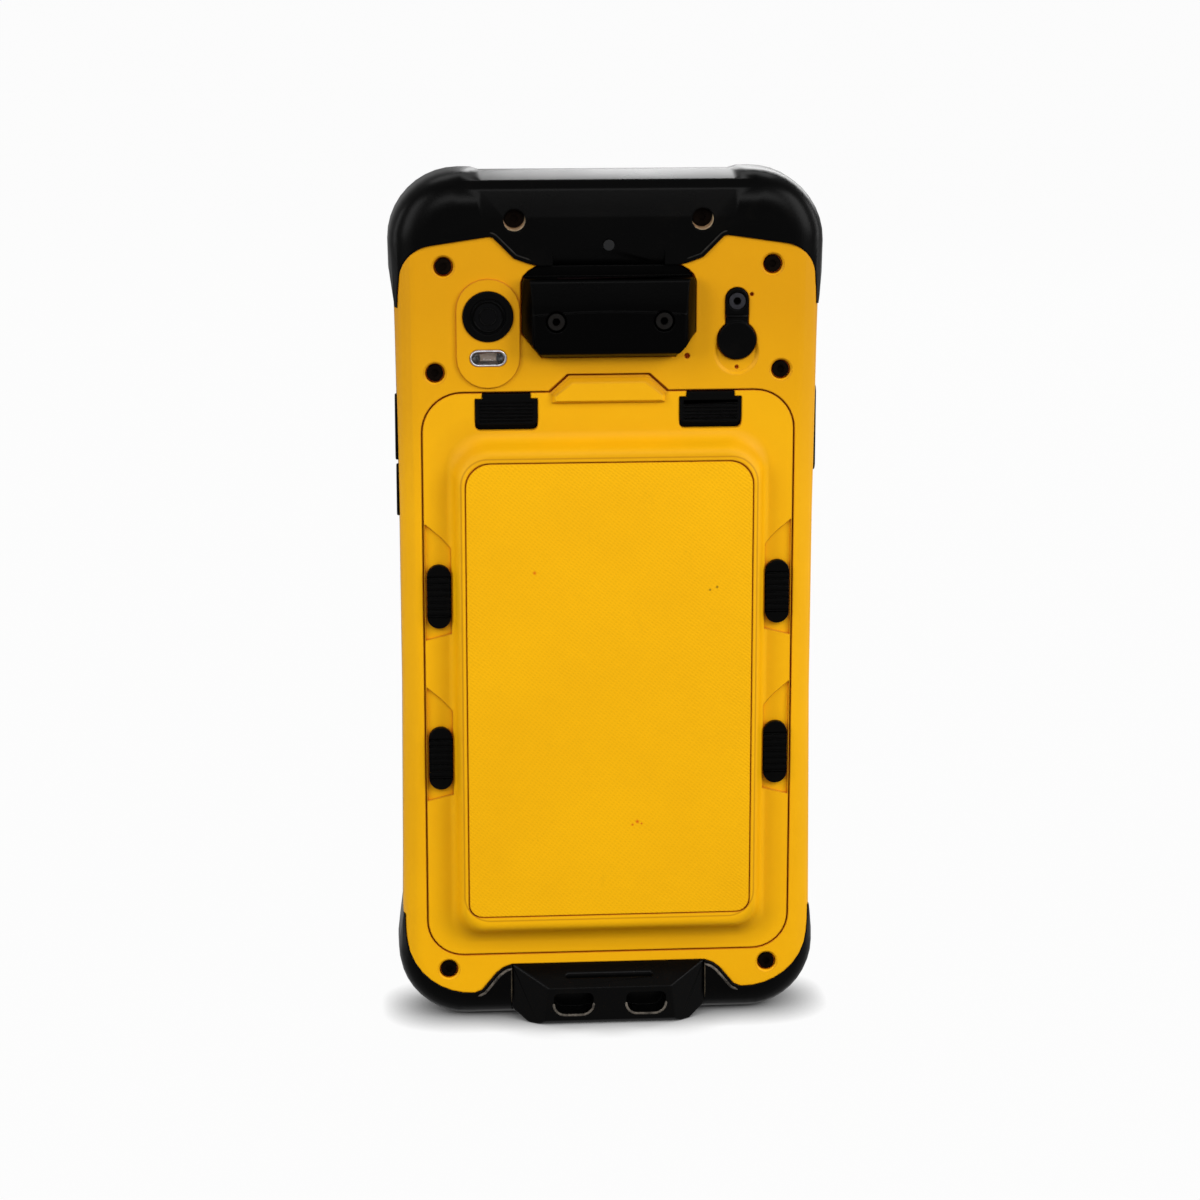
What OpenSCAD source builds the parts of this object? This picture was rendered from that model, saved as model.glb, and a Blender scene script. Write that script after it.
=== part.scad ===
// Rugged handheld barcode terminal: two-part case with overmoulded bumpers, a rear
// scanner hump, a camera, a tilting battery pack with two latches and four side locks.
// Millimetres. X runs across the back, Y from the back to the screen, Z up the case.

/* [Case] */
// Width of the case at its waist, over the bumpers
case_w = 78.2; // [77:0.2:86]
// Height of the case over both bumpers
case_h = 161; // [158:1:176]
// Depth of the rear housing, back face to parting plane
rear_d = 9; // [9:0.25:11]
// Depth of the front housing, parting plane to rim
front_d = 7; // [7:0.1:9]
// Height of the waist above the foot
waist_z = 76; // [50:1:80]
// How far each side widens from the waist to the ends
flare = 1; // [0:0.1:1.2]
// Radius of the case's corners
corner_r = 13; // [12:0.5:14]
// Radius of the rear housing's back edge
back_r = 4; // [2.5:0.5:4.5]
// Thickness of the housing walls
wall = 1.6; // [1.4:0.1:1.8]

/* [Bumpers] */
// How far the bumpers stand proud of the housings
bumper_proud = 0.8; // [0.4:0.1:1]
// How deep the bumpers sink into the housings
bumper_t = 1.6; // [1.3:0.1:1.8]
// How far the bumpers stand over the front rim
bumper_lip = 0.5; // [0.2:0.1:1]
// Half length of the crease across the top bumper
crease_x = 23; // [20:0.5:25]
// How far the crease runs out into the corner pads
crease_run = 7; // [4:0.5:7.5]
// Radius of the holes over the bumper screws
bumper_hole_r = 2; // [1.9:0.1:2.3]
// Distance of the bumper screws from the middle
bumper_screw_x = 17.1; // [15.5:0.1:18.5]

/* [Battery pack] */
// Width of the housing's rail beside the battery cover, at the waist
rail_w = 4.7; // [4.4:0.1:5.6]
// Height of the cover's lower edge
cover_z = 13; // [12.5:0.1:14]
// Distance from the scanner cover down to the battery cover's upper edge
scan_gap = 6.3; // [5.6:0.1:8]
// Thickness of the cover's border
cover_t = 1.4; // [1.2:0.1:1.8]
// Radius of the cover's upper corners
cover_r_top = 7.5; // [5:0.5:9]
// Radius of the cover's lower corners
cover_r_low = 7; // [5:0.5:9]
// Height of the raised field over the border
field_h = 3.3; // [2.5:0.1:3.6]
// Width of the cover's border beside the raised field
field_edge = 5.5; // [5:0.1:6.5]
// Width of the flank between the field's foot and the textured panel
panel_edge = 2.5; // [2:0.1:4]
// Height of the flank at the field's upper end
top_edge = 3.7; // [2.5:0.1:4.5]
// Height of the flank at the field's lower end
low_edge = 4.1; // [3:0.1:4.5]
// Thickness of the textured panel
panel_t = 0.6; // [0.4:0.1:0.8]
// Width of the ledge that the cover seats on, beside the bay
lane_w = 5.9; // [5.5:0.1:6.5]
// Thickness of the bay floor
bay_floor_t = 1; // [0.8:0.1:1.2]
// Thickness of the tray walls
tray_t = 0.8; // [0.6:0.1:1]
// Gap round the tray in its bay
bay_gap = 0.4; // [0.3:0.05:0.6]
// Half width of the finger lip
lip_x = 11; // [9:0.5:12]
// Height of the finger lip above the cover's upper edge
lip_h = 3.1; // [2:0.1:3.4]

/* [Latches] */
// Distance of the latches' middle from the cover's side
latch_edge = 15.65; // [13.3:0.05:15.9]
// Width of a latch
latch_w = 11.3; // [9:0.1:11.5]
// Height of a latch below its tongue
latch_h = 4.7; // [4:0.1:5.2]
// Width of the latch tongue
tongue_w = 8.7; // [6:0.1:8.8]
// Height of a latch's tongue
tongue_h = 0.9; // [0.7:0.1:1.4]
// How far a latch slides
latch_travel = 1; // [0.6:0.1:1.2]
// Ribs on a latch
latch_ribs = 6; // [4:1:7]

/* [Side locks] */
// Distance of the side locks' middle from the cover's edge
lock_edge = 2.95; // [2.6:0.05:3.1]
// Width of a side lock
lock_w = 4.4; // [3.6:0.1:4.5]
// Height of a side lock
lock_h = 12; // [10:0.5:13]
// Height of the lower side locks' middle
lock_z = 52.1; // [40:0.5:56]
// Distance between the lower and upper side locks
lock_pitch = 31; // [26:0.5:38]
// How far a side lock slides
lock_travel = 2.5; // [1:0.1:2.5]

/* [Scanner] */
// Width of the scanner cover
scan_w = 31.6; // [30:0.2:32.4]
// Distance from the top of the case to the cover's lower edge
scan_drop = 33.5; // [33:0.1:34]
// How far the scanner cover stands out
scan_d = 4.2; // [3.5:0.1:4.5]
// Width of the scan window
window_w = 18.8; // [16:0.2:20]
// Distance of the cover's screws from the middle
scan_screw_x = 9.8; // [9.6:0.1:11.5]

/* [Camera and port] */
// Distance of the camera's middle from the scanner cover
camera_gap = 6.2; // [6:0.1:6.8]
// Radius of the camera bezel
camera_r = 4.6; // [4:0.1:4.9]
// Radius of the camera glass
camera_glass_r = 3.2; // [2.6:0.1:3.4]
// Width of the flash window
flash_w = 6.7; // [5:0.1:7.4]
// Distance of the port plug's middle from the scanner cover
plug_gap = 7.7; // [7:0.1:8.2]
// Radius of the port plug
plug_r = 3.5; // [3:0.1:3.7]
// Width of the plug's strap
strap_w = 4.1; // [3.4:0.1:4.6]

/* [Keys] */
// Length of the power key
power_h = 12.4; // [10:0.2:12.4]
// Length of the scan key
scan_key_h = 9.8; // [8:0.2:11]
// Gap between the power key and the scan key
key_gap = 0.7; // [0.5:0.1:2]
// Length of the volume rocker
rocker_h = 16.3; // [13:0.1:16.5]
// Depth of the side keys
side_key_d = 3.2; // [2.6:0.1:3.4]
// How far the side keys stand proud
side_key_proud = 0.5; // [0.3:0.1:0.7]
// Width of a front key
front_key_w = 13; // [10:0.5:15]
// Height of a front key
front_key_h = 5.6; // [4.5:0.1:6]
// Distance between the front keys
front_key_pitch = 19; // [18:0.5:20]

/* [Screen] */
// Width of the rim beside the glass, at the waist and over the bumpers
bezel = 4.2; // [4:0.1:5.5]
// Thickness of the glass
glass_t = 1; // [0.8:0.1:1.2]
// Width of the ledge under the glass
glass_ledge = 1.4; // [1.2:0.1:2.4]

/* [Strap anchor] */
// Width of the anchor at the back face
anchor_w = 36.8; // [35:0.2:37.6]
// How far the anchor stands out
anchor_d = 4.5; // [4:0.1:5]
// Distance of the strap eyes from the middle
eye_x = 6.9; // [6:0.1:7.2]
// Half width of a strap eye
eye_r = 3.7; // [3.3:0.1:4]
// Wall beside the strap eyes at the anchor's outer face
eye_wall = 1; // [0.8:0.1:1.6]

/* [Fasteners] */
// Radius of the housing screws' shank
screw_r = 0.8; // [0.6:0.1:0.9]
// Radius of the screw heads
head_r = 1.5; // [1.3:0.1:1.6]
// Radius of the wells over the housing screws
well_r = 1.8; // [1.7:0.1:2]

/* [Clearances] */
// Gap between pieces that seat on each other
seat = 0.05; // [0.03:0.01:0.1]
// Gap beside pieces that slide
slide = 0.1; // [0.08:0.01:0.2]
// Gap round the battery cover
seam = 0.3; // [0.15:0.05:0.35]

/* [Hidden] */

big = 60;
side_n = 8;
arc_n = 10;
part_y = 3;
back_y = part_y - rear_d;
front_y = part_y + front_d;
outer_back_y = back_y - 0.4;
outer_front_y = front_y + bumper_lip;
core_in = bumper_proud + bumper_t;
core_y = back_y + bumper_t;
cavity_in = core_in + wall;
ledge_y = back_y + cover_t + slide;
inner_y = ledge_y + wall;

top = case_h;
scan_z = top - scan_drop;
cover_top = scan_z - scan_gap;
cover_w = case_w - 2 * rail_w;
cover_under = back_y + cover_t;
bay_w = cover_w - 2 * lane_w;
bay_z0 = cover_z + 3.6;
bay_z1 = cover_top - 11.4;
bay_y = -0.4;
board_y = bay_y + bay_floor_t + 0.15;
anchor_h = 11;
anchor_face_z = 7.5;
eye_top = 6.3;
eye_low = 2;
eye_corner = 2.2;
neck_z = top - 16.9;
ramp_h = 3.4;
field_w = cover_w - 2 * field_edge;
panel_w = field_w - 2 * panel_edge;
cell_w = panel_w - 2;
lock_x = cover_w / 2 - lock_edge;
latch_x = cover_w / 2 - latch_edge;
neck_x = scan_w / 2 - 3.2;
camera_x = scan_w / 2 + camera_gap;
plug_x = scan_w / 2 + plug_gap;
glass_w = case_w - 2 * bezel;
display_w = glass_w - 2 * glass_ledge;
anchor_face_w = 2 * (eye_x + eye_r + eye_wall);
taper_run = 6.5;
shoulder_end_z = top - 24.5;
hip_end_z = 20.9;

rubber = "#1b1b1c";
yellow = "#f4b80e";
plastic = "#151516";
steel = "#8d9094";

// ---- shape helpers -------------------------------------------------------------

// Points of an arc about c
function arc(c, r, a0, a1, n = arc_n) =
    [for (i = [0:n]) let (a = a0 + (a1 - a0) * i / n) [c[0] + r * cos(a), c[1] + r * sin(a)]];

// Mirror a list of points across the middle and reverse it
function flip(pts) = [for (i = [len(pts) - 1:-1:0]) [-pts[i][0], pts[i][1]]];

// Rounded rectangle from its two corners
function rounded(x0, z0, x1, z1, r, n = 6) = concat(
    arc([x1 - r, z1 - r], r, 0, 90, n), arc([x0 + r, z1 - r], r, 90, 180, n),
    arc([x0 + r, z0 + r], r, 180, 270, n), arc([x1 - r, z0 + r], r, 270, 360, n));

// Half the width of the case at height z, over the bumpers
function half_w(z) = case_w / 2 + flare * pow((z - waist_z) / (case_h / 2), 2);

// Outline of the case, drawn in by a distance
function case_pts(inset) =
    let (r = corner_r - inset,
         zt = case_h - corner_r,
         xt = half_w(zt) - corner_r,
         xb = half_w(corner_r) - corner_r,
         side = [for (i = [1:side_n - 1]) let (z = corner_r + (zt - corner_r) * i / side_n)
             [half_w(z) - inset, z]])
    concat(side, arc([xt, zt], r, 0, 90), arc([-xt, zt], r, 90, 180),
        flip(side), arc([-xb, corner_r], r, 180, 270), arc([xb, corner_r], r, 270, 360));

// Flat plate in the X-Z plane between two depths
module slab(y0, y1) translate([0, y1, 0]) rotate([90, 0, 0]) linear_extrude(y1 - y0) children();

// Beam along X between two places, drawn in the Y-Z plane
module beam(x0, x1) translate([x0, 0, 0]) rotate([90, 0, 90]) linear_extrude(x1 - x0) children();

// Block between two corners
module block(a, b) translate(a) cube(b - a);

// Round pin along Y
module pin_y(x, z, r, y0, y1) translate([x, y1, z]) rotate([90, 0, 0]) cylinder(r = r, h = y1 - y0, $fn = 48);

// Both sides of the middle
module both() {
    children();
    mirror([1, 0, 0]) children();
}

// Solid through a list of rings with the same number of points; each end closes on a
// hub beside the ring's middle
module loft(rings, hub = [0, 0, 0]) {
    n = len(rings[0]);
    m = len(rings);
    mid = function (ring) [for (p = ring) 1] * ring / len(ring) + hub;
    points = concat([for (ring = rings) each ring], [mid(rings[0]), mid(rings[m - 1])]);
    sides = [for (k = [0:m - 2], i = [0:n - 1]) let (a = k * n + i, b = k * n + (i + 1) % n)
        each [[a, b, b + n], [a, b + n, a + n]]];
    back = [for (i = [0:n - 1]) [m * n, (i + 1) % n, i]];
    front = [for (i = [0:n - 1]) [m * n + 1, (m - 1) * n + i, (m - 1) * n + (i + 1) % n]];
    polyhedron(concat(points), concat(sides, back, front), convexity = 6);
}

// Solid of the case outline along a profile of [depth, inset] steps
module case_loft(profile) loft([for (p = profile) [for (q = case_pts(p[1])) [q[0], p[0], q[1]]]]);

// ---- shared outlines --------------------------------------------------------------

// Shoulder line between the rear housing and the top bumper, right half, from the side in
shoulder = let (edge = half_w(top - 21) - bumper_proud - 0.9) concat(
    [[big, shoulder_end_z], [edge + 0.35, shoulder_end_z], [edge + 0.25, top - 21.5]],
    arc([edge - 6.6, top - 19.6], 6.6, 8, 80, 8),
    arc([edge - 16.2, top - 13], 1.5, 95, 135, 4),
    [[neck_x + 4.6, neck_z + 1.4], [neck_x + 1.8, neck_z + 0.4], [neck_x + 0.1, neck_z]]);

// Line between the rear housing and the bottom bumper, right half, from the side in
hip = let (edge = half_w(18) - bumper_proud - 0.45) concat(
    [[big, hip_end_z], [edge + 0.1, hip_end_z]],
    arc([edge - 12.4, 17.9], 12.4, 0, -92, 9),
    [[edge - 14.3, 6.1], [anchor_w / 2 + 2.9, anchor_h - 1.5], [anchor_w / 2 + 1.6, anchor_h - 0.5],
    [anchor_w / 2, anchor_h + 0.1]]);

// Everything above the shoulder line
function top_zone(up) = concat([for (p = shoulder) [p[0], p[1] + up]],
    [for (p = flip(shoulder)) [p[0], p[1] + up]], [[-big, top + 9], [big, top + 9]]);

// Everything below the hip line
function low_zone(down) = concat([for (p = hip) [p[0], p[1] - down]],
    [for (p = flip(hip)) [p[0], p[1] - down]], [[-big, -9], [big, -9]]);

// Outline of the battery cover with its finger lip, drawn in by a distance
function cover_pts(inset) =
    let (w = cover_w / 2 - inset,
         z0 = cover_z + inset,
         z1 = cover_top - inset,
         rt = cover_r_top - inset,
         rl = cover_r_low - inset,
         lip = [[lip_x - inset, z1], [lip_x - inset - lip_h * 1.1, z1 + lip_h]],
         right = concat([[w, (z0 + z1) / 2]], arc([w - rt, z1 - rt], rt, 0, 90), lip))
    concat(right, flip(right), arc([rl - w, z0 + rl], rl, 180, 270), arc([w - rl, z0 + rl], rl, 270, 360));

// Outline of the battery bay, grown by a distance
function bay_pts(g) = rounded(-bay_w / 2 - g, bay_z0 - g, bay_w / 2 + g, bay_z1 + g, 2 + g);

// Outline of the scanner cover with its neck, grown by a distance
function scan_pts(g) =
    let (w = scan_w / 2 + g,
         right = [[w - 3.8, scan_z - g], [w, scan_z + 4.5 - g / 2], [w, scan_z + 13.6],
             [w - 0.4, scan_z + 14.8], [w - 1.4, scan_z + 15.8], [neck_x + g, neck_z + g]])
    concat(right, flip(right));

// Places of the housing screws, as [x, z]
screw_pts = [for (s = [-1, 1]) each [[s * (case_w / 2 - 9.1), top - 16.9],
    [s * (case_w / 2 - 7.4), cover_top + 3.5], [s * (case_w / 2 - 8.75), 10.3]]];

// ---- case ---------------------------------------------------------------------------

fillet_n = 6;
rear_profile = concat(
    [for (i = [0:fillet_n]) let (a = 90 * i / fillet_n)
        [back_y + back_r * (1 - cos(a)), bumper_proud + back_r * (1 - sin(a))]],
    [[part_y, bumper_proud]]);

front_r = 3;
front_profile = concat(
    [[part_y + seat, bumper_proud]],
    [for (i = [0:4]) let (a = 75 * i / 4)
        [front_y - front_r * sin(75) + front_r * sin(a), bumper_proud + front_r * (1 - cos(a))]]);

bumper_profile = [
    [outer_back_y, 6.4],
    [back_y - 0.15, 4.6],
    [back_y + 0.5, 2.9],
    [back_y + 1.4, 1.6],
    [back_y + 2.8, 0.65],
    [back_y + 4.6, 0.15],
    [back_y + 7, 0],
    [front_y - 3, 0],
    [front_y - 1.2, 0.4],
    [front_y, 1.2],
    [outer_front_y, 2]];

// The housings' surface under the bumpers
module core(g, y0, y1) slab(y0, y1) polygon(case_pts(core_in - g));

// What the bumpers take from the housings
module bumper_steps() {
    difference() {
        union() {
            slab(back_y - 2, front_y + 2) polygon(top_zone(0));
            slab(back_y - 2, front_y + 2) polygon(low_zone(0));
        }
        core(0, core_y, front_y + 3);
    }
}

post_r = 2.6;

// Bosses round the housing screws
module screw_bosses(y0, y1) for (p = screw_pts) pin_y(p[0], p[1], post_r, y0, y1);

port_z = scan_z + 2.7;
strap_hinge_z = port_z + plug_r + 0.9;
camera_z = scan_z + 7.5;
flash_z = camera_z - 7.6;
pod_y = back_y - 0.4;
vent_z = top - 13.2;
bumper_screw_z = top - 8.4;
bumper_hole_z = bumper_screw_z - 0.2;
bumper_seat_y = core_y + 0.6;
collar_r = bumper_hole_r + 0.9;
collar_y = back_y + 0.4;
usb_w = 9;
usb_d = 3.2;
usb_y = board_y - usb_d / 2 - seat;
speaker_x = 21.1 - case_w / 2;

// Raised pad round the camera and flash
module camera_pod() slab(pod_y, back_y + 1)
    polygon(rounded(-camera_x - camera_r - 1.2, cover_top + 0.7,
        camera_r + 1.2 - camera_x, camera_z + camera_r + 2.2, camera_r + 1));

module rear_housing() color(yellow) difference() {
    union() {
        difference() {
            case_loft(rear_profile);
            bumper_steps();
        }
        camera_pod();
        // collars that reach up under the top bumper's skin
        both() pin_y(bumper_screw_x, bumper_hole_z, collar_r, collar_y, core_y + 0.5);
    }
    housing_inside();
    battery_bay();
    scanner_seat();
    camera_seat();
    port_seat();
    for (p = screw_pts) {
        pin_y(p[0], p[1], well_r, back_y - 1, back_y + 1.4);
        well_rim(p);
        pin_y(p[0], p[1], screw_r + 0.15, back_y, part_y + 1);
    }
    both() {
        pin_y(bumper_screw_x, bumper_hole_z, bumper_hole_r, back_y - 1, bumper_seat_y);
        pin_y(bumper_screw_x, bumper_screw_z, screw_r + 0.02, back_y, inner_y + 1);
    }
    side_slot(-1, power_key_z, power_h);
    side_slot(-1, scan_key_z, scan_key_h);
    side_slot(1, rocker_z, rocker_h);
    seal_groove();
    bottom_ports();
    pin_y(plug_x + 2.7, port_z + 8.4, 0.35, back_y - 1, back_y + 1.2);
    pin_y(plug_x + 0.1, port_z - 5, 0.35, back_y - 1, back_y + 1.2);
    pin_y(scan_w / 2 - 1.4, scan_z - 0.1, 0.5, back_y - 1, back_y + 1.2);
}

// Bevelled rim of the well over a housing screw
module well_rim(p) translate([p[0], back_y + 0.3, p[1]]) rotate([90, 0, 0])
    cylinder(r1 = well_r, r2 = well_r + 0.4, h = 0.4, $fn = 48);

module housing_inside() difference() {
    slab(inner_y, part_y + 1) polygon(case_pts(cavity_in));
    block([-bay_w / 2 - wall, inner_y - 1, bay_z0 - wall - 2.2],
        [bay_w / 2 + wall, bay_y + bay_floor_t, bay_z1 + wall]);
    screw_bosses(inner_y - 1, part_y - 2);
}

module battery_bay() {
    slab(back_y - 1, ledge_y) polygon(cover_pts(0));
    slab(back_y, bay_y) polygon(bay_pts(0));
    both() {
        // room for the latch feet and springs
        block([latch_x - latch_w / 2 - 1.5, ledge_y - 1, bay_z1 + 1.25],
            [latch_x + latch_w / 2 + 1.5, ledge_y + 1.1, cover_top - 0.4]);
        // room for the side locks' feet
        for (z = [lock_z, lock_z + lock_pitch])
            block([lock_x - 1.8, ledge_y - 1, z - lock_h / 3 - 0.3],
                [lock_x + 1.8, ledge_y + 1, z + lock_h / 3 + 0.3 + lock_travel]);
        // pockets for the cover's hooks
        block([hook_x - hook_w / 2 - 0.3, ledge_y - 0.1, cover_z - 1.7],
            [hook_x + hook_w / 2 + 0.3, ledge_y + 1.6, cover_z + 2.7]);
    }
    // opening for the battery contacts
    block([-contact_w / 2 - 0.2, bay_y - 1, contact_z - 1.2], [contact_w / 2 + 0.2, part_y, contact_z + 1.2]);
}

module scanner_seat() {
    slab(back_y - 1, core_y + 0.01) polygon(scan_pts(0.25));
    block([-engine_w / 2 - 0.4, back_y, scan_z + 2.1], [engine_w / 2 + 0.4, part_y, hump_top - 0.4]);
    both() pin_y(scan_screw_x, scan_screw_z, screw_r + 0.02, core_y - 1, inner_y - 0.3);
}

module camera_seat() {
    pin_y(-camera_x, camera_z, camera_r + seat, pod_y - 1, back_y + 1.2);
    pin_y(-camera_x, camera_z, camera_glass_r, back_y, part_y);
    slab(pod_y - 1, part_y) polygon(flash_pts(seat));
}

// Outline of the flash window, grown by a distance
function flash_pts(g) = rounded(-camera_x - flash_w / 2 - g, flash_z - 1.5 - g,
    flash_w / 2 + g - camera_x, flash_z + 1.5 + g, 1.49 + g);

module port_seat() {
    pin_y(plug_x, port_z, plug_r + 0.2, back_y - 1, back_y + 1.1);
    slab(back_y - 1, back_y + 1.1) polygon(strap_pts(0.15, port_z));
    // scoop for a fingernail under the plug
    translate([plug_x, back_y + 0.45, port_z - 2.3]) rotate([90, 0, 0])
        cylinder(r1 = plug_r, r2 = plug_r + 0.7, h = 0.5, $fn = 48);
    pin_y(plug_x, port_z, 2.05, back_y, part_y);
    pin_y(plug_x, strap_screw_z, screw_r + 0.02, back_y, inner_y - 0.3);
}

module seal_groove() difference() {
    slab(part_y - 0.6, part_y + 1) polygon(case_pts(core_in + 0.4));
    slab(part_y - 1, part_y + 2) polygon(case_pts(core_in + 1.2));
}

module housing_seal() color(rubber) difference() {
    slab(part_y - 0.6 + seat, part_y) polygon(case_pts(core_in + 0.4 + seat));
    slab(part_y - 1, part_y + 2) polygon(case_pts(core_in + 1.2 - seat));
}

// Outline of the socket, seen from below, grown by a distance
function usb_pts(g) = rounded(-usb_w / 2 - g, usb_y - usb_d / 2 - g, usb_w / 2 + g, usb_y + usb_d / 2 + g,
    1.55 + g);

// Openings in the bottom end for the socket and the loudspeaker
module bottom_ports() {
    translate([0, 0, -1]) linear_extrude(7) polygon(usb_pts(0.3));
    for (i = [-1, 0, 1]) translate([speaker_x + 2.6 * i, -1, -1]) cylinder(r = 0.7, h = 7, $fn = 24);
}

module top_bumper() color(rubber) difference() {
    intersection() {
        case_loft(bumper_profile);
        slab(back_y - 2, front_y + 2) polygon(top_zone(seat));
    }
    core(seat, core_y - seat, front_y + 3);
    crease_cut();
    neck_ramp();
    both() {
        pin_y(bumper_screw_x, bumper_hole_z, bumper_hole_r, back_y - 2, core_y + 1);
        pin_y(bumper_screw_x, bumper_hole_z, collar_r + seat, collar_y - seat, core_y + 1);
        side_taper(shoulder_end_z, 1);
    }
    pin_y(0, vent_z, vent_r + seat, back_y - 2, core_y + 1);
}

// Wedge that brings a bumper's side down to the housing at its end
module side_taper(z, up) let (w = half_w(z)) slab(back_y - 2, front_y + 2)
    polygon([[w + 2, z - 2 * up], [w - bumper_proud - 0.02, z - 2 * up],
        [w - bumper_proud - 0.02, z], [w + 0.1, z + taper_run * up], [w + 2, z + taper_run * up]]);

// Flat that leaves a crease along the top and runs out into the two corner pads
crease_profile = [[front_y + 2, top - 2.6], [front_y + 2, top + 12], [back_y - 4, top + 12],
    [back_y - 4, top - 8.2], [outer_back_y, top - 8.2], [back_y + 0.45, top - 2.6],
    [core_y - 0.2, top - 1.5], [part_y, top - 0.4], [front_y - 2, top - 0.6]];
crease_lift = 2.4;

module crease_cut() loft([for (x = [[1, 1], [1, 0], [-1, 0], [-1, 1]]) let (lift = crease_lift * x[1])
    [for (p = crease_profile) [x[0] * (crease_x + crease_run * x[1]), p[0] - lift, p[1] + lift]]],
    hub = [0, -7.8, 8]);

// Trough in front of the scan window
module neck_ramp() beam(-neck_x + 2.4, neck_x - 2.4)
    polygon([[back_y - 3, neck_z - 4], [neck_y, neck_z - 4], [neck_y, neck_z - 0.2],
        [back_y - 0.5, neck_z + ramp_h], [back_y - 3, neck_z + ramp_h]]);

module bottom_bumper() color(rubber) difference() {
    intersection() {
        case_loft(bumper_profile);
        slab(back_y - 2, front_y + 2) polygon(low_zone(seat));
    }
    core(seat, core_y - seat, front_y + 3);
    block([-anchor_w / 2 - seat, back_y - 3, -1], [anchor_w / 2 + seat, core_y, anchor_h + 1]);
    both() side_taper(hip_end_z, -1);
    bottom_ports();
}

module strap_anchor() color(plastic) difference() {
    intersection() {
        slab(back_y - anchor_d, core_y - seat) polygon(let (w = anchor_w / 2)
            [[w, 2.2], [w, anchor_h], [-w, anchor_h], [-w, 2.2], [3 - w, 0], [w - 3, 0]]);
        beam(-big, big)
            polygon([[core_y, 0], [core_y, anchor_h], [back_y - 0.1, anchor_h],
                [back_y - anchor_d, anchor_face_z],
                [back_y - anchor_d + 0.5, 0.9], [back_y - anchor_d + 1.4, 0]]);
        linear_extrude(anchor_h + 1) polygon(let (right = [[anchor_w / 2, core_y], [anchor_w / 2, back_y],
            [anchor_face_w / 2, back_y - anchor_d]]) concat(right, flip(right)));
    }
    both() slab(back_y - anchor_d - 1, back_y + 0.6) polygon(let (in = eye_r - eye_corner) concat(
        [[eye_x + eye_r, eye_top - 0.6], [eye_x + eye_r - 0.6, eye_top],
        [eye_x - eye_r + 0.6, eye_top], [eye_x - eye_r, eye_top - 0.6]],
        arc([eye_x - in, eye_low + eye_corner], eye_corner, 180, 270, 6),
        arc([eye_x + in, eye_low + eye_corner], eye_corner, 270, 360, 6)));
    // way behind the bar that the strap loops round
    block([-eye_x, back_y - 2.4, eye_low + 0.3], [eye_x, back_y + 0.6, eye_top]);
    // slot in the sloping top
    block([-eye_x - 1.3, back_y - 2.6, eye_top + 1.4], [eye_x + 1.3, back_y - 1.9, anchor_h + 1]);
}

front_key_z = 15.4;
glass_z0 = 25.5;
glass_top = top - 5.4;
display_z0 = glass_z0 + 1.7;
display_z1 = glass_top - 8.2;
display_y = part_y + 2.6;
glass_y = front_y - glass_t;

key_pocket_x = front_key_pitch + front_key_w / 2 + 3.5;
earpiece_w = 13;
selfie_x = -14;

// Outline of the glass, grown by a distance
function glass_pts(g) = rounded(-glass_w / 2 - g, glass_z0 - g, glass_w / 2 + g, glass_top + g, 6 + g);

// Outline of the display, grown by a distance
function display_pts(g) = rounded(-display_w / 2 - g, display_z0 - g, display_w / 2 + g, display_z1 + g,
    4 + g);

// Room for the earpiece and the front camera
module top_pocket(y0, y1) block([selfie_x - 6, y0, display_z1 + 1],
    [earpiece_w / 2 + 0.5, y1, glass_top - 1.2]);

module front_housing() color(plastic) difference() {
    union() {
        difference() {
            case_loft(front_profile);
            bumper_steps();
        }
        screw_bosses(part_y - 2 + seat, part_y + 1);
    }
    slab(glass_y - 0.2, front_y + 1) polygon(glass_pts(seat));
    slab(display_y, front_y) polygon(display_pts(seat));
    top_pocket(display_y, front_y);
    // pockets behind the front keys
    block([-key_pocket_x - 2, part_y - 1, front_key_z - 6.2],
        [key_pocket_x + 2, display_y + 0.9, front_key_z + 6.2]);
    block([-key_pocket_x, part_y, front_key_z - 4.4], [key_pocket_x, front_y - 1.5, front_key_z + 4.4]);
    for (i = [-1, 0, 1]) front_key_outline(i, 0.12, part_y, front_y + 1);
    for (p = screw_pts) pin_y(p[0], p[1], screw_r + 0.02, part_y - 3, part_y + 2.2);
}

module front_key_outline(i, g, y0, y1) let (x = front_key_pitch * i, w = front_key_w / 2 + g,
    h = front_key_h / 2 + g)
    slab(y0, y1) polygon(rounded(x - w, front_key_z - h, x + w, front_key_z + h, h - 0.01, 8));

module front_key(i) color(plastic) {
    front_key_outline(i, 0, front_y - 1.7, front_y + 0.3);
    front_key_outline(i, 0.8, front_y - 2.4, front_y - 1.6);
}

module back_key() front_key(1);
module home_key() front_key(0);
module menu_key() front_key(-1);

module keypad_board() color("#1f6b3a") {
    block([-key_pocket_x - 1.8, display_y + 0.1, front_key_z - 6],
        [key_pocket_x + 1.8, display_y + 0.85, front_key_z + 6]);
    for (i = [-1, 0, 1]) pin_y(front_key_pitch * i, front_key_z, 2, display_y + 0.85, front_y - 2.8);
}

module display_glass() color("#0c0d10") difference() {
    slab(glass_y, front_y) polygon(glass_pts(0));
    slab(glass_y - 1, front_y + 1) polygon(rounded(-5, glass_top - 3.8, 5, glass_top - 2.8, 0.49));
}

module display_gasket() color(rubber) difference() {
    slab(glass_y - 0.2 + 0.02, glass_y - 0.02) polygon(glass_pts(0));
    slab(display_y, front_y) polygon(display_pts(seat));
    top_pocket(display_y, front_y);
}

module display_panel() color("#22262c") slab(display_y + seat, glass_y - 0.1) polygon(display_pts(0));

module earpiece() color(steel)
    block([-earpiece_w / 2, display_y + seat, display_z1 + 1.2],
        [earpiece_w / 2, glass_y - 0.4, glass_top - 1.4]);

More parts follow.
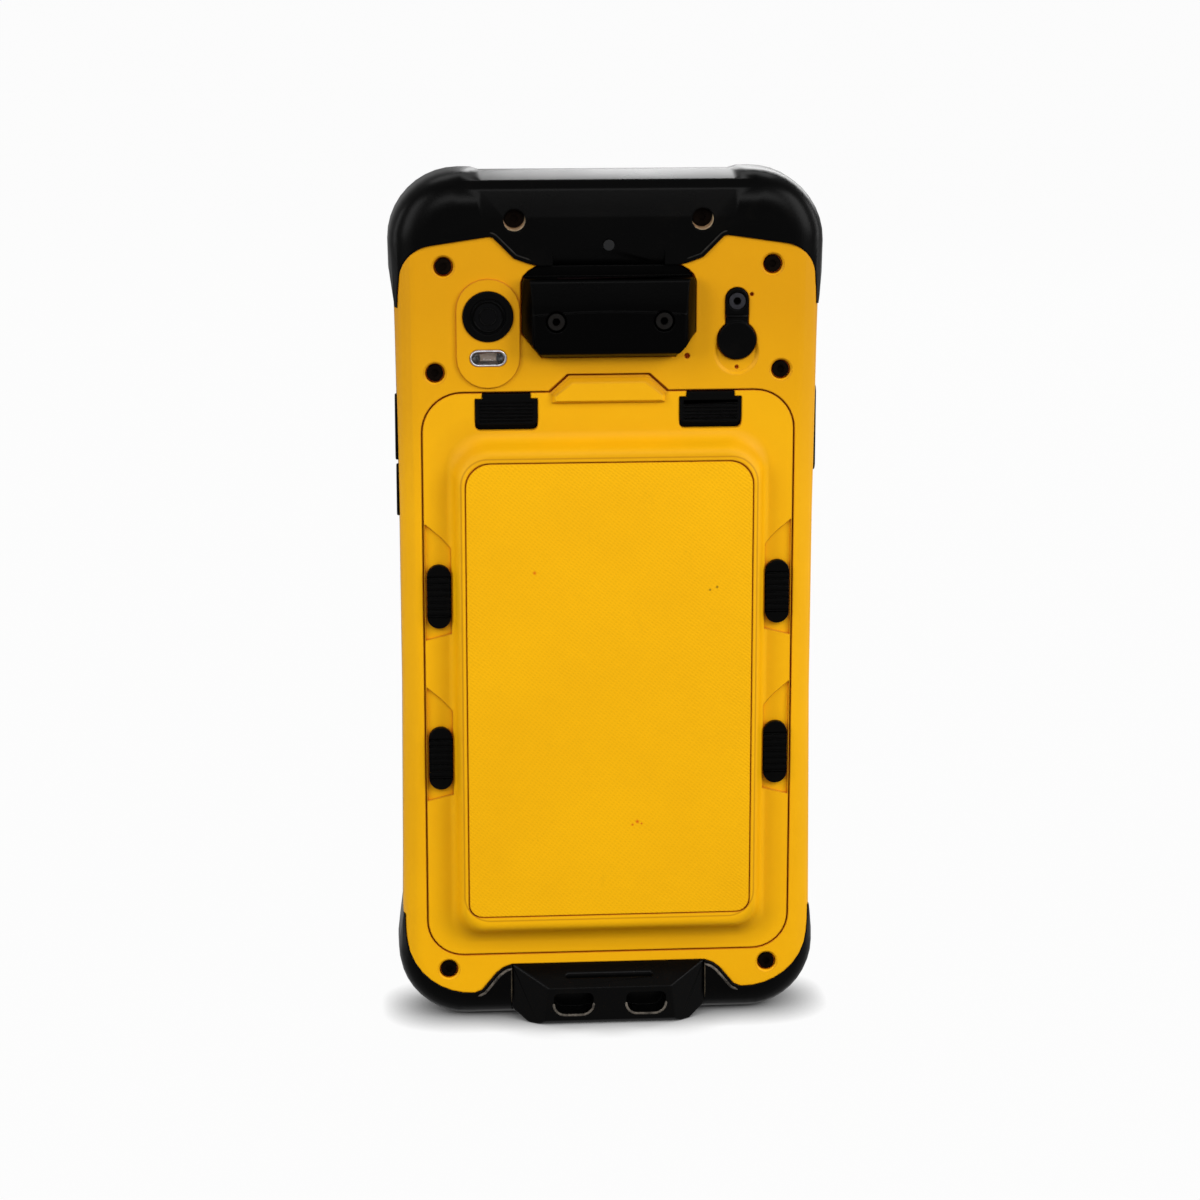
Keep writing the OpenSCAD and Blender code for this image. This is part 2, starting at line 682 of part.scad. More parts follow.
module front_camera() color(plastic) {
    pin_y(selfie_x, (display_z1 + glass_top) / 2, 2.4, display_y + 1, glass_y - 0.2);
    block([selfie_x - 3, display_y + seat, display_z1 + 1.2], [selfie_x + 3, display_y + 1, glass_top - 1.4]);
}

// ---- fasteners ----------------------------------------------------------------------

// Pan-head screw along Y with a six-lobe style socket
module screw(x, z, y, reach, head = head_r) difference() {
    union() {
        pin_y(x, z, head, y - 0.9, y);
        pin_y(x, z, screw_r, y, y + reach);
    }
    translate([x, y - 0.4, z]) rotate([90, 0, 0]) cylinder(r = 0.75, h = 1, $fn = 6);
}

module housing_screws() color(steel) for (p = screw_pts)
    screw(p[0], p[1], back_y + 1.4 - 0.02, part_y - back_y - 1.6);

module bumper_screws() color(steel) both()
    screw(bumper_screw_x, bumper_screw_z, bumper_seat_y - 0.02, 1.5, bumper_hole_r - 0.35);

vent_r = 1;
module pressure_vent() color("#6a6c70") pin_y(0, vent_z, vent_r, back_y - 0.45, core_y - seat);

// ---- scanner ------------------------------------------------------------------------

engine_w = 14.4;
scan_screw_z = scan_z + 6.9;
hump_top = scan_z + 14.5;
neck_y = back_y + 1;

window_y = back_y - scan_d + 1.3;

module scanner_cover() color(plastic) difference() {
    intersection() {
        slab(back_y - scan_d, core_y - seat) polygon(scan_pts(0));
        beam(-big, big) polygon([[core_y, scan_z - 1], [back_y, scan_z - 1], [back_y - 1, scan_z],
            [back_y - scan_d + 0.5, scan_z + 0.9], [back_y - scan_d, scan_z + 2],
                [back_y - scan_d, scan_z + 8.8],
            [back_y - scan_d + 0.8, hump_top - 0.4], [back_y - scan_d + 1.2, hump_top], [neck_y, hump_top],
            [neck_y, top], [core_y, top]]);
        translate([0, 0, scan_z - 1]) linear_extrude(20) polygon(let (right = [[scan_w / 2, core_y],
            [scan_w / 2, back_y - 1], [scan_w / 2 - 1.6, back_y - scan_d + 0.4],
                [scan_w / 2 - 2.2, back_y - scan_d]])
            concat(right, flip(right)));
    }
    // shallow arched step across the back
    slab(back_y - scan_d - 1, back_y - scan_d + 0.2) polygon(concat(
        [for (i = [-8:8]) [i * scan_w / 16, scan_z + 7.6 + 1.1 * cos(i * 9)]],
        [[scan_w / 2, hump_top + 1], [-scan_w / 2, hump_top + 1]]));
    // room for the engine
    block([-engine_w / 2 - 0.3, window_y, scan_z + 2.2], [engine_w / 2 + 0.3, core_y + 1, hump_top - 1.6]);
    // seat of the window and the opening under it
    block([-window_w / 2 - seat, window_y, hump_top - 0.8],
        [window_w / 2 + seat, back_y + 0.5, hump_top + 1]);
    block([-engine_w / 2, window_y + 0.5, hump_top - 2], [engine_w / 2, back_y, hump_top]);
    both() {
        pin_y(scan_screw_x, scan_screw_z, head_r + 0.4, back_y - scan_d - 1, window_y - 0.2);
        pin_y(scan_screw_x, scan_screw_z, screw_r + 0.15, back_y - scan_d, core_y + 1);
    }
}

module scan_window() color("#3a0d12")
    block([-window_w / 2, window_y + seat, hump_top - 0.8 + seat],
        [window_w / 2, back_y + 0.5 - seat, hump_top - 0.1]);

module scan_engine() color("#2b2d30") {
    block([-engine_w / 2, window_y + 0.3, scan_z + 2.5], [engine_w / 2, inner_y, scan_z + 11]);
    translate([0, back_y - 1.2, scan_z + 11]) cylinder(r = 1, h = 1.4, $fn = 32);
    for (s = [-1, 1]) translate([4.4 * s, back_y - 1.2, scan_z + 11]) cylinder(r = 0.8, h = 0.9, $fn = 32);
}

module scanner_screws() color(steel) both() screw(scan_screw_x, scan_screw_z, window_y - 0.22, scan_d + 1);

// ---- camera and flash -----------------------------------------------------------------

module camera_bezel() color(plastic) difference() {
    pin_y(-camera_x, camera_z, camera_r, pod_y - 0.3, back_y + 1.2 - seat);
    pin_y(-camera_x, camera_z, camera_glass_r + seat, pod_y - 1, pod_y + 0.6);
    pin_y(-camera_x, camera_z, camera_glass_r - 0.7, pod_y, back_y + 2);
}

module camera_lens() color("#10141c") pin_y(-camera_x, camera_z, camera_glass_r, pod_y, pod_y + 0.6 - 0.02);

module camera_module() color("#202226") {
    pin_y(-camera_x, camera_z, camera_glass_r - 0.8, pod_y + 0.9, inner_y + 0.1);
    block([-camera_x - 4.2, inner_y + 0.1, camera_z - 4.2], [4.2 - camera_x, 0.5, camera_z + 4.2]);
}

module flash_lens() color("#d9dbdd") slab(pod_y - 0.1, back_y + 1.2) polygon(flash_pts(0));

module flash_led() color("#f2e28a") block([-camera_x - 1.6, back_y + 1.4, flash_z - 1.2],
    [1.6 - camera_x, 0.5, flash_z + 1.2]);

// ---- port plug ----------------------------------------------------------------------------

strap_screw_z = strap_hinge_z + 2.8;
strap_top_z = strap_hinge_z + 5.2;
hinge_y = back_y - 0.2;

// Outline of the strap from height z up, grown by a distance
function strap_pts(g, z) = concat(arc([plug_x, strap_top_z - strap_w / 2], strap_w / 2 + g, 0, 180, 10),
    [[plug_x - strap_w / 2 - g, z], [plug_x + strap_w / 2 + g, z]]);

module plug_strap() color(rubber) difference() {
    slab(back_y - 0.4, back_y + 1.1 - seat) polygon(strap_pts(0, strap_hinge_z + 0.2));
    pin_y(plug_x, strap_screw_z, head_r + 0.1, back_y - 2, back_y + 0.5);
    pin_y(plug_x, strap_screw_z, screw_r + 0.05, back_y, back_y + 3);
}

module plug_screw() color(steel) screw(plug_x, strap_screw_z, back_y + 0.5 - 0.02, 2.1);

module port_plug() color(rubber) {
    pin_y(plug_x, port_z, plug_r, back_y - 0.5, back_y + 1);
    block([plug_x - strap_w / 2 + 0.05, hinge_y, port_z + 1],
        [plug_x + strap_w / 2 - 0.05, back_y + 0.8, strap_hinge_z - 0.05]);
    pin_y(plug_x, port_z, 1.6, back_y + 1, back_y + 2);
}

module service_port() color("#b08d3c") {
    pin_y(plug_x, port_z, 1.9, back_y + 2.5, inner_y + 0.1);
    pin_y(plug_x, port_z, 3, inner_y + 0.05, inner_y + 1.4);
}

// ---- electronics ---------------------------------------------------------------------------

board_t = 0.8;
board_w = case_w - 2 * (cavity_in + 2);

module main_board() color("#1f6b3a") difference() {
    slab(board_y, board_y + board_t)
        polygon(rounded(-board_w / 2, cavity_in + 2.1, board_w / 2, top - cavity_in - 2.6, corner_r - 6));
    for (p = screw_pts) pin_y(p[0], p[1], post_r + 0.3, -5, 5);
}

// Shield cans, as [left edge, width, drop below the contacts, height]
cans = [[-24, 20, 50, 22], [2, 24, 52, 26], [-22, 20, 22, 15], [4, 20, 20, 18], [-12, 26, 84, 16]];

module shield_cans() color("#b9bcc0") for (c = cans)
    block([c[0], board_y + board_t, contact_z - c[2]], [c[0] + c[1], part_y - 0.2, contact_z - c[2] + c[3]]);

contact_w = 12;
contact_z = bay_z1 - 2.5;

module battery_contacts() color("#c9a13b") {
    block([-contact_w / 2, bay_y + 0.1, contact_z - 1], [contact_w / 2, board_y - 0.02, contact_z + 1]);
    for (i = [-2:2]) pin_y(2.2 * i, contact_z, 0.5, bay_y - 0.35, bay_y + 0.2);
}

module usb_receptacle() color(steel) difference() {
    translate([0, 0, 2.5]) linear_extrude(8)
        polygon(usb_pts(0));
    translate([0, 0, 2]) linear_extrude(6.5)
        polygon(usb_pts(-0.3));
}

module loudspeaker() color("#303236") block([speaker_x - 6.5, inner_y + 0.05, 4.1],
    [speaker_x + 6.5, 0.5, 11.6]);

motor_r = 4;
motor_x = case_w / 2 - 16;
motor_z = top - 11.4;
module vibration_motor() color(steel) pin_y(motor_x, motor_z, motor_r, inner_y + 0.05, -0.3);

power_key_z = top - 47.1;
scan_key_z = power_key_z - power_h / 2 - scan_key_h / 2 - key_gap;
rocker_z = top - 48.1;
key_y = 0.4;
key_flange = 0.6;

// Where the inner face of a side key's flange lies
key_play = 0.3;
function flange_x(z) = half_w(z) - cavity_in - key_play - key_flange;

// Slot through the side wall for a key of height h
module side_slot(s, z, h) let (x0 = s < 0 ? -big : 30)
    beam(x0, x0 + 30) polygon(rounded(key_y - side_key_d / 2 - slide, z - h / 2 - slide,
        key_y + side_key_d / 2 + slide, z + h / 2 + slide, side_key_d / 2));

// Side key with its flange, on the right; the left ones are mirrored
module side_key(z, h) let (x1 = half_w(z) - bumper_proud + side_key_proud, xf = flange_x(z)) color(rubber) {
    beam(xf + key_flange - 0.01, x1) polygon(rounded(key_y - side_key_d / 2, z - h / 2,
        key_y + side_key_d / 2, z + h / 2, side_key_d / 2 - 0.01));
    block([xf, key_y - side_key_d / 2 - 0.6, z - h / 2 - 0.2],
        [xf + key_flange, key_y + side_key_d / 2 + 0.2, z + h / 2 + 0.2]);
}

module power_key() mirror([1, 0, 0]) side_key(power_key_z, power_h);
module scan_key() mirror([1, 0, 0]) side_key(scan_key_z, scan_key_h);
module volume_rocker() side_key(rocker_z, rocker_h);

// Tactile switch inside a side key
module side_switch(z, side) let (x = flange_x(z) - 0.45)
    block([side < 0 ? -x : x - 0.7, key_y - 1, z - 1.5], [side < 0 ? 0.7 - x : x, board_y - 0.02, z + 1.5]);

module side_switches() color("#9a9da2") {
    side_switch(power_key_z, -1);
    side_switch(scan_key_z, -1);
    side_switch(rocker_z - 4.5, 1);
    side_switch(rocker_z + 4.5, 1);
}

// ---- battery pack ----------------------------------------------------------------------------

field_y = back_y - field_h;
field_z0 = cover_z + 4;
field_z1 = cover_top - 8.7;
hook_x = 18;
hook_w = 8;
lip_out = 1;
tongue_z = cover_top - seam - slide - tongue_h;
latch_z0 = tongue_z - slide - latch_h;
notch_z = latch_z0 - latch_travel - slide;
latch_foot_z0 = notch_z - 0.35;

// Steps of the raised field's flank from its top down, as shares of its height and width
field_steps = [[1, 0.8], [0.985, 0.68], [0.93, 0.55], [0.82, 0.44], [0.66, 0.34], [0.45, 0.24], [0.25, 0.12],
    [0.11, -0.04], [0.03, -0.22], [0, -0.38], [-0.15, -0.38]];

// Outline of the field at a step of its flank
function field_pts(s) =
    let (w = field_w / 2 - s * panel_edge,
         z0 = max(cover_z + seam + 0.4, field_z0 + s * low_edge),
         z1 = field_z1 - s * top_edge,
         rt = 6.5,
         rl = 4.5)
    concat(arc([w - rt, z1 - rt], rt, 0, 90), arc([rt - w, z1 - rt], rt, 90, 180),
        arc([rl - w, z0 + rl], rl, 180, 270), arc([w - rl, z0 + rl], rl, 270, 360));

module raised_field() loft([for (s = field_steps)
    [for (q = field_pts(s[1])) [q[0], back_y - field_h * s[0], q[1]]]]);

panel_z0 = field_z0 + 0.8 * low_edge + 1.4;
panel_z1 = field_z1 - 4.2;

function panel_pts(g) = let (w = panel_w / 2 + g) concat(
    arc([w - 4.5, panel_z1 + g - 4.5], 4.5, 0, 90), arc([4.5 - w, panel_z1 + g - 4.5], 4.5, 90, 180),
    arc([2.5 - w, panel_z0 - g + 2.5], 2.5, 180, 270, 5),
        arc([w - 2.5, panel_z0 - g + 2.5], 2.5, 270, 360, 5));

// Scooped pocket round a side lock
module lock_pocket(z) slab(back_y - 1, back_y + 0.5) polygon([[lock_x - 2.3, z - lock_h / 2 - 1.2],
    [lock_x + 2.5, z - lock_h / 2 - 2.4], [lock_x + 2.5, z + lock_h / 2 + 7.6],
    [lock_x - 0.3, z + lock_h / 2 + 5.2], [lock_x - 2.3, z + lock_h / 2 + 3]]);

module battery_cover() color(yellow) difference() {
    union() {
        slab(back_y, cover_under) polygon(cover_pts(seam));
        raised_field();
        finger_lip();
        both() cover_hook();
        both() block([latch_x - 4, cover_under - 0.1, spring_z - 0.5],
            [latch_x + 4, cover_under + 0.9, spring_z]);
    }
    slab(field_y - 1, field_y + panel_t + 0.05) polygon(panel_pts(0.2));
    block([-cell_w / 2 - 0.5, field_y + panel_t + 0.7, field_z0 + 3.2],
        [cell_w / 2 + 0.5, cover_under + 1, field_z1 - 3]);
    both() {
        latch_notch();
        for (z = [lock_z, lock_z + lock_pitch]) {
            lock_pocket(z);
            block([lock_x - 1, back_y, z - 2.5 - slide],
                [lock_x + 1, cover_under + 1, z + 2.5 + lock_travel + slide]);
        }
    }
    // groove for the seal
    difference() {
        slab(cover_under - 0.6, cover_under + 1) polygon(bay_pts(1.15));
        slab(cover_under - 1, cover_under + 2) polygon(bay_pts(0.25));
    }
}

// Raised pad of the finger lip
module finger_lip() loft([lip_ring(1.3, back_y - lip_out), lip_ring(0.9, back_y - lip_out + 0.15),
    lip_ring(0.2, back_y + 0.1), lip_ring(0, back_y + 0.4)]);

// Ring of the finger lip at depth y, drawn in by a distance
function lip_ring(in, y) =
    let (w = lip_x - seam - 0.1 - in * 0.8,
         low = cover_top - 2.4 + in * 0.5,
         mid = cover_top - seam - 0.1 - in * 0.4,
         high = cover_top - seam - 0.1 + lip_h - in,
         rise = w - lip_h * 1.1 + in * 0.35)
    [for (p = [[w, low], [w, mid], [rise, high], [-rise, high], [-w, mid], [-w, low]]) [p[0], y, p[1]]];

// Hook that slips under the housing below the bay
module cover_hook() {
    block([hook_x - hook_w / 2, cover_under - 0.1, cover_z + seam + 0.3],
        [hook_x + hook_w / 2, ledge_y + 0.8, cover_z + 1.8]);
    block([hook_x - hook_w / 2, ledge_y, cover_z - 1.3], [hook_x + hook_w / 2, ledge_y + 0.8, cover_z + 1.8]);
}

module latch_notch() slab(back_y - 1, cover_under + 1.5) polygon(concat(
    [[latch_x + tongue_w / 2 + slide, cover_top + 1], [latch_x - tongue_w / 2 - slide, cover_top + 1],
    [latch_x - tongue_w / 2 - slide, tongue_z]],
    [[latch_x - latch_w / 2 - slide, tongue_z]],
    arc([latch_x - latch_w / 2 - slide + 1, notch_z + 1], 1, 180, 270, 4),
    arc([latch_x + latch_w / 2 + slide - 1, notch_z + 1], 1, 270, 360, 4),
    [[latch_x + latch_w / 2 + slide, tongue_z], [latch_x + tongue_w / 2 + slide, tongue_z]]));

module battery_panel() color("#f0b40c") slab(field_y, field_y + panel_t) polygon(panel_pts(0));

tray_y = bay_y - 0.4;

module battery_tray() color(plastic) difference() {
    slab(cover_under + seat, tray_y) polygon(bay_pts(-bay_gap));
    slab(back_y, tray_y - tray_t) polygon(bay_pts(-bay_gap - tray_t));
    block([-contact_w / 2 - 0.3, bay_y - 3, contact_z - 1], [contact_w / 2 + 0.3, bay_y, contact_z + 1]);
}

module battery_cell() color("#3d4249") slab(field_y + panel_t + 0.8, tray_y - tray_t - seat)
    polygon(rounded(-cell_w / 2, field_z0 + 3.5, cell_w / 2, contact_z - 1.6, 3));

module battery_circuit() color("#1f6b3a") {
    block([-20, cover_under + 0.3, contact_z - 1.1], [20, tray_y - tray_t - seat, contact_z + 1.1]);
    block([-contact_w / 2, tray_y - tray_t - 2 * seat, contact_z - 0.9],
        [contact_w / 2, bay_y - 0.42, contact_z + 0.9]);
}

module cover_seal() color(rubber) difference() {
    slab(cover_under - 0.55, cover_under + 0.07) polygon(bay_pts(1.1));
    slab(cover_under - 1, cover_under + 2) polygon(bay_pts(0.3));
}

module latch() color(plastic) difference() {
    union() {
        slab(back_y - 0.25, cover_under + slide) polygon(concat(
            [[latch_x + tongue_w / 2, tongue_z + tongue_h], [latch_x - tongue_w / 2, tongue_z + tongue_h],
            [latch_x - tongue_w / 2, tongue_z - slide], [latch_x - latch_w / 2, tongue_z - slide]],
            arc([latch_x - latch_w / 2 + 0.9, latch_z0 + 0.9], 0.9, 180, 270, 4),
            arc([latch_x + latch_w / 2 - 0.9, latch_z0 + 0.9], 0.9, 270, 360, 4),
            [[latch_x + latch_w / 2, tongue_z - slide], [latch_x + tongue_w / 2, tongue_z - slide]]));
        block([latch_x - latch_w / 2 - 1, cover_under + slide, latch_foot_z0],
            [latch_x + latch_w / 2 + 1, cover_under + 0.9, tongue_z + 0.2]);
    }
    for (i = [0:latch_ribs - 1]) let (z = latch_z0 + 0.6 + (latch_h - 1.4) * i / (latch_ribs - 1))
        block([latch_x - latch_w / 2 + 0.7, back_y - 1, z - 0.15],
            [latch_x + latch_w / 2 - 0.7, back_y + 0.15, z + 0.15]);
}

module latch_right() latch();
module latch_left() mirror([1, 0, 0]) latch();

// Leaf spring between each latch and its rib on the cover
spring_z = latch_foot_z0 - latch_travel - 1;
spring_wave = (latch_foot_z0 - spring_z - 0.25) / 2;
function leaf(up) = [for (i = [0:12]) [latch_x - 4 + 8 * i / 12,
    spring_z + 0.05 + up + spring_wave * (1 - cos(60 * i))]];

module latch_spring_right() color(steel) slab(cover_under + 0.25, cover_under + 0.8)
    polygon(let (low = leaf(0), high = leaf(0.15)) concat(low, [for (i = [12:-1:0]) high[i]]));

module latch_spring_left() mirror([1, 0, 0]) latch_spring_right();

module side_lock(z) color(plastic) difference() {
    union() {
        slab(back_y - 0.9, back_y + 0.4)
            polygon(rounded(lock_x - lock_w / 2, z - lock_h / 2, lock_x + lock_w / 2, z + lock_h / 2,
                lock_w / 2 - 0.01, 8));
        block([lock_x - 0.9, back_y + 0.3, z - 2.5], [lock_x + 0.9, cover_under + 0.2, z + 2.5]);
        block([lock_x - 1.5, cover_under + slide, z - lock_h / 3],
            [lock_x + 1.5, cover_under + 0.9, z + lock_h / 3]);
    }
    for (i = [-3:3]) block([lock_x - lock_w, back_y - 2, z + 1.2 * i - 0.2],
        [lock_x + lock_w, back_y - 0.55, z + 1.2 * i + 0.2]);
}

module lock_upper_right() side_lock(lock_z + lock_pitch);
module lock_upper_left() mirror([1, 0, 0]) side_lock(lock_z + lock_pitch);
module lock_lower_right() side_lock(lock_z);
module lock_lower_left() mirror([1, 0, 0]) side_lock(lock_z);

rear_housing();
front_housing();
housing_seal();
top_bumper();
bottom_bumper();
strap_anchor();
housing_screws();
bumper_screws();
pressure_vent();
scanner_cover();
scan_window();
scan_engine();
scanner_screws();
camera_bezel();
camera_lens();
camera_module();
flash_lens();
flash_led();
plug_strap();
plug_screw();
port_plug();
service_port();
display_glass();
display_panel();
display_gasket();
earpiece();
front_camera();
main_board();
shield_cans();
battery_contacts();
usb_receptacle();
loudspeaker();
vibration_motor();
side_switches();
keypad_board();
power_key();
scan_key();
volume_rocker();
back_key();
home_key();
menu_key();
battery_cover();
battery_panel();
battery_tray();
battery_cell();
battery_circuit();
cover_seal();
latch_left();
latch_right();
latch_spring_left();
latch_spring_right();
lock_upper_left();
lock_upper_right();
lock_lower_left();
lock_lower_right();
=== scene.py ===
"""Looks of the portable barcode data terminal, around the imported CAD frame."""
import math

import bpy
import bmesh
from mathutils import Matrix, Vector


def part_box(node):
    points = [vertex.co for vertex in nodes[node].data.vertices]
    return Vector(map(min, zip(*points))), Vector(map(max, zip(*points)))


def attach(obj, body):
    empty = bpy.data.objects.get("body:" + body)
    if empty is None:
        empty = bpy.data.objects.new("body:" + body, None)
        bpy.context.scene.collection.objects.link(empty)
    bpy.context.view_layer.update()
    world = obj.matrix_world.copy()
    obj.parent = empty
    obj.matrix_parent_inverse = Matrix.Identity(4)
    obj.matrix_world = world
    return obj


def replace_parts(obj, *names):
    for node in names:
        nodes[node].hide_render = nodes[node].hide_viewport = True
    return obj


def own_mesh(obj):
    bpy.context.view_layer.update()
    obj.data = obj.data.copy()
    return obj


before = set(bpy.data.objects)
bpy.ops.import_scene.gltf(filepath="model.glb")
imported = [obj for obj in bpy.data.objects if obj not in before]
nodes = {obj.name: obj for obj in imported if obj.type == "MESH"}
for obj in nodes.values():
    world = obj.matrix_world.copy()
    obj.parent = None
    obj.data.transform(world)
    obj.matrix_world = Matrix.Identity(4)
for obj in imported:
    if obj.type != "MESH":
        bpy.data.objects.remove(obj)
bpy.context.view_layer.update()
MM = 0.001

# ---- camera --------------------------------------------------------------------

AZIMUTH, ELEVATION = math.radians(-4.4), math.radians(13.0)
DISTANCE, FOCAL_LENGTH, SENSOR = 0.600, 95.6, 36.0
TARGET = Vector((-0.00097, 0.002, 0.080))

back = Vector((math.sin(AZIMUTH) * math.cos(ELEVATION),
               -math.cos(AZIMUTH) * math.cos(ELEVATION), math.sin(ELEVATION)))
cam_data = bpy.data.cameras.new("camera")
cam_data.lens = FOCAL_LENGTH
cam_data.sensor_width = SENSOR
camera = bpy.data.objects.new("camera", cam_data)
bpy.context.scene.collection.objects.link(camera)
camera.location = TARGET + back * DISTANCE
camera.rotation_mode = "QUATERNION"
camera.rotation_quaternion = (-back).to_track_quat("-Z", "Y")
cam_data.clip_start, cam_data.clip_end = 0.01, 20
bpy.context.scene.camera = camera
bpy.context.scene.view_settings.view_transform = "Standard"


# ---- sizes shared with part.scad, in millimetres -----------------------------------

# Case: its waisted outline, its back face, and how far the bumpers stand out
CASE_W, CASE_H, WAIST_Z, FLARE = 78.2, 161.0, 76.0, 1.0
BACK_Y, PROUD, OUTER_BACK_Y = -6.0, 0.8, -6.4
# Scanner hump with its two screws, and the top bumper's neck above it
SCAN_W, SCAN_Z = 31.6, 127.5
SCAN_SCREW_X, SCAN_SCREW_Z = 9.8, SCAN_Z + 6.9
NECK_X, NECK_Z = SCAN_W / 2 - 3.2, CASE_H - 16.9
BUMPER_HOLE_X, BUMPER_HOLE_Z, BUMPER_HOLE_R = 17.1, CASE_H - 8.6, 2.0
# Camera and flash on their raised pad
CAMERA_X, CAMERA_Z = -(SCAN_W / 2 + 6.2), SCAN_Z + 7.5
FLASH_Z, FLASH_W, FLASH_H, POD_Y = CAMERA_Z - 7.6, 6.7, 3.0, BACK_Y - 0.4
# Service plug on its strap
PLUG_X, PLUG_R, STRAP_W = SCAN_W / 2 + 7.7, 3.5, 4.1
PLUG_HINGE_Z = SCAN_Z + 2.7 + PLUG_R + 0.9
PLUG_SCREW_Z = PLUG_HINGE_Z + 2.8
# Strap anchor and its two eyes
ANCHOR_W, ANCHOR_D, ANCHOR_H, FACE_Z = 36.8, 4.5, 11.0, 7.5
EYE_X, EYE_R, EYE_LOW, EYE_CORNER = 6.9, 3.7, 2.0, 2.2
# Battery cover, the foot of its raised field, and the textured panel
COVER_TOP, FIELD_Z0, FIELD_Z1, FIELD_HALF_W, FIELD_R = 121.2, 17.0, 112.5, 28.9, 6.0
PANEL_Z0, PANEL_Z1, PANEL_HALF_W, PANEL_R = 21.7, 108.3, 26.4, 4.0
# Border of the display under its glass; the latches' travel is in metres
DISPLAY_EDGE, LATCH_TRAVEL = 2.0, 1.0 * MM


def half_w(z):
    """Half the case's width at a height."""
    return CASE_W / 2 + FLARE * ((z - WAIST_Z) / (CASE_H / 2)) ** 2


def arc(x, z, r, a0, a1, n):
    """Points on an arc from angle a0 to a1, in degrees."""
    angles = [math.radians(a0 + (a1 - a0) * i / n) for i in range(n + 1)]
    return [(x + r * math.cos(a), z + r * math.sin(a)) for a in angles]


def turn(count):
    """Angles evenly round a full turn."""
    return [2 * math.pi * k / count for k in range(count)]


# ---- material helpers ------------------------------------------------------------

def srgb(text):
    """Linear colour from a hex string."""
    out = []
    for i in (0, 2, 4):
        v = int(text[i:i + 2], 16) / 255
        out.append(v / 12.92 if v <= 0.04045 else ((v + 0.055) / 1.055) ** 2.4)
    return (*out, 1.0)


def math_node(tree, operation, *values):
    """Output of a math node on sockets or plain numbers."""
    node = tree.nodes.new("ShaderNodeMath")
    node.operation = operation
    for socket, value in zip(node.inputs, values):
        if hasattr(value, "is_linked"):
            tree.links.new(value, socket)
        else:
            socket.default_value = value
    return node.outputs[0]


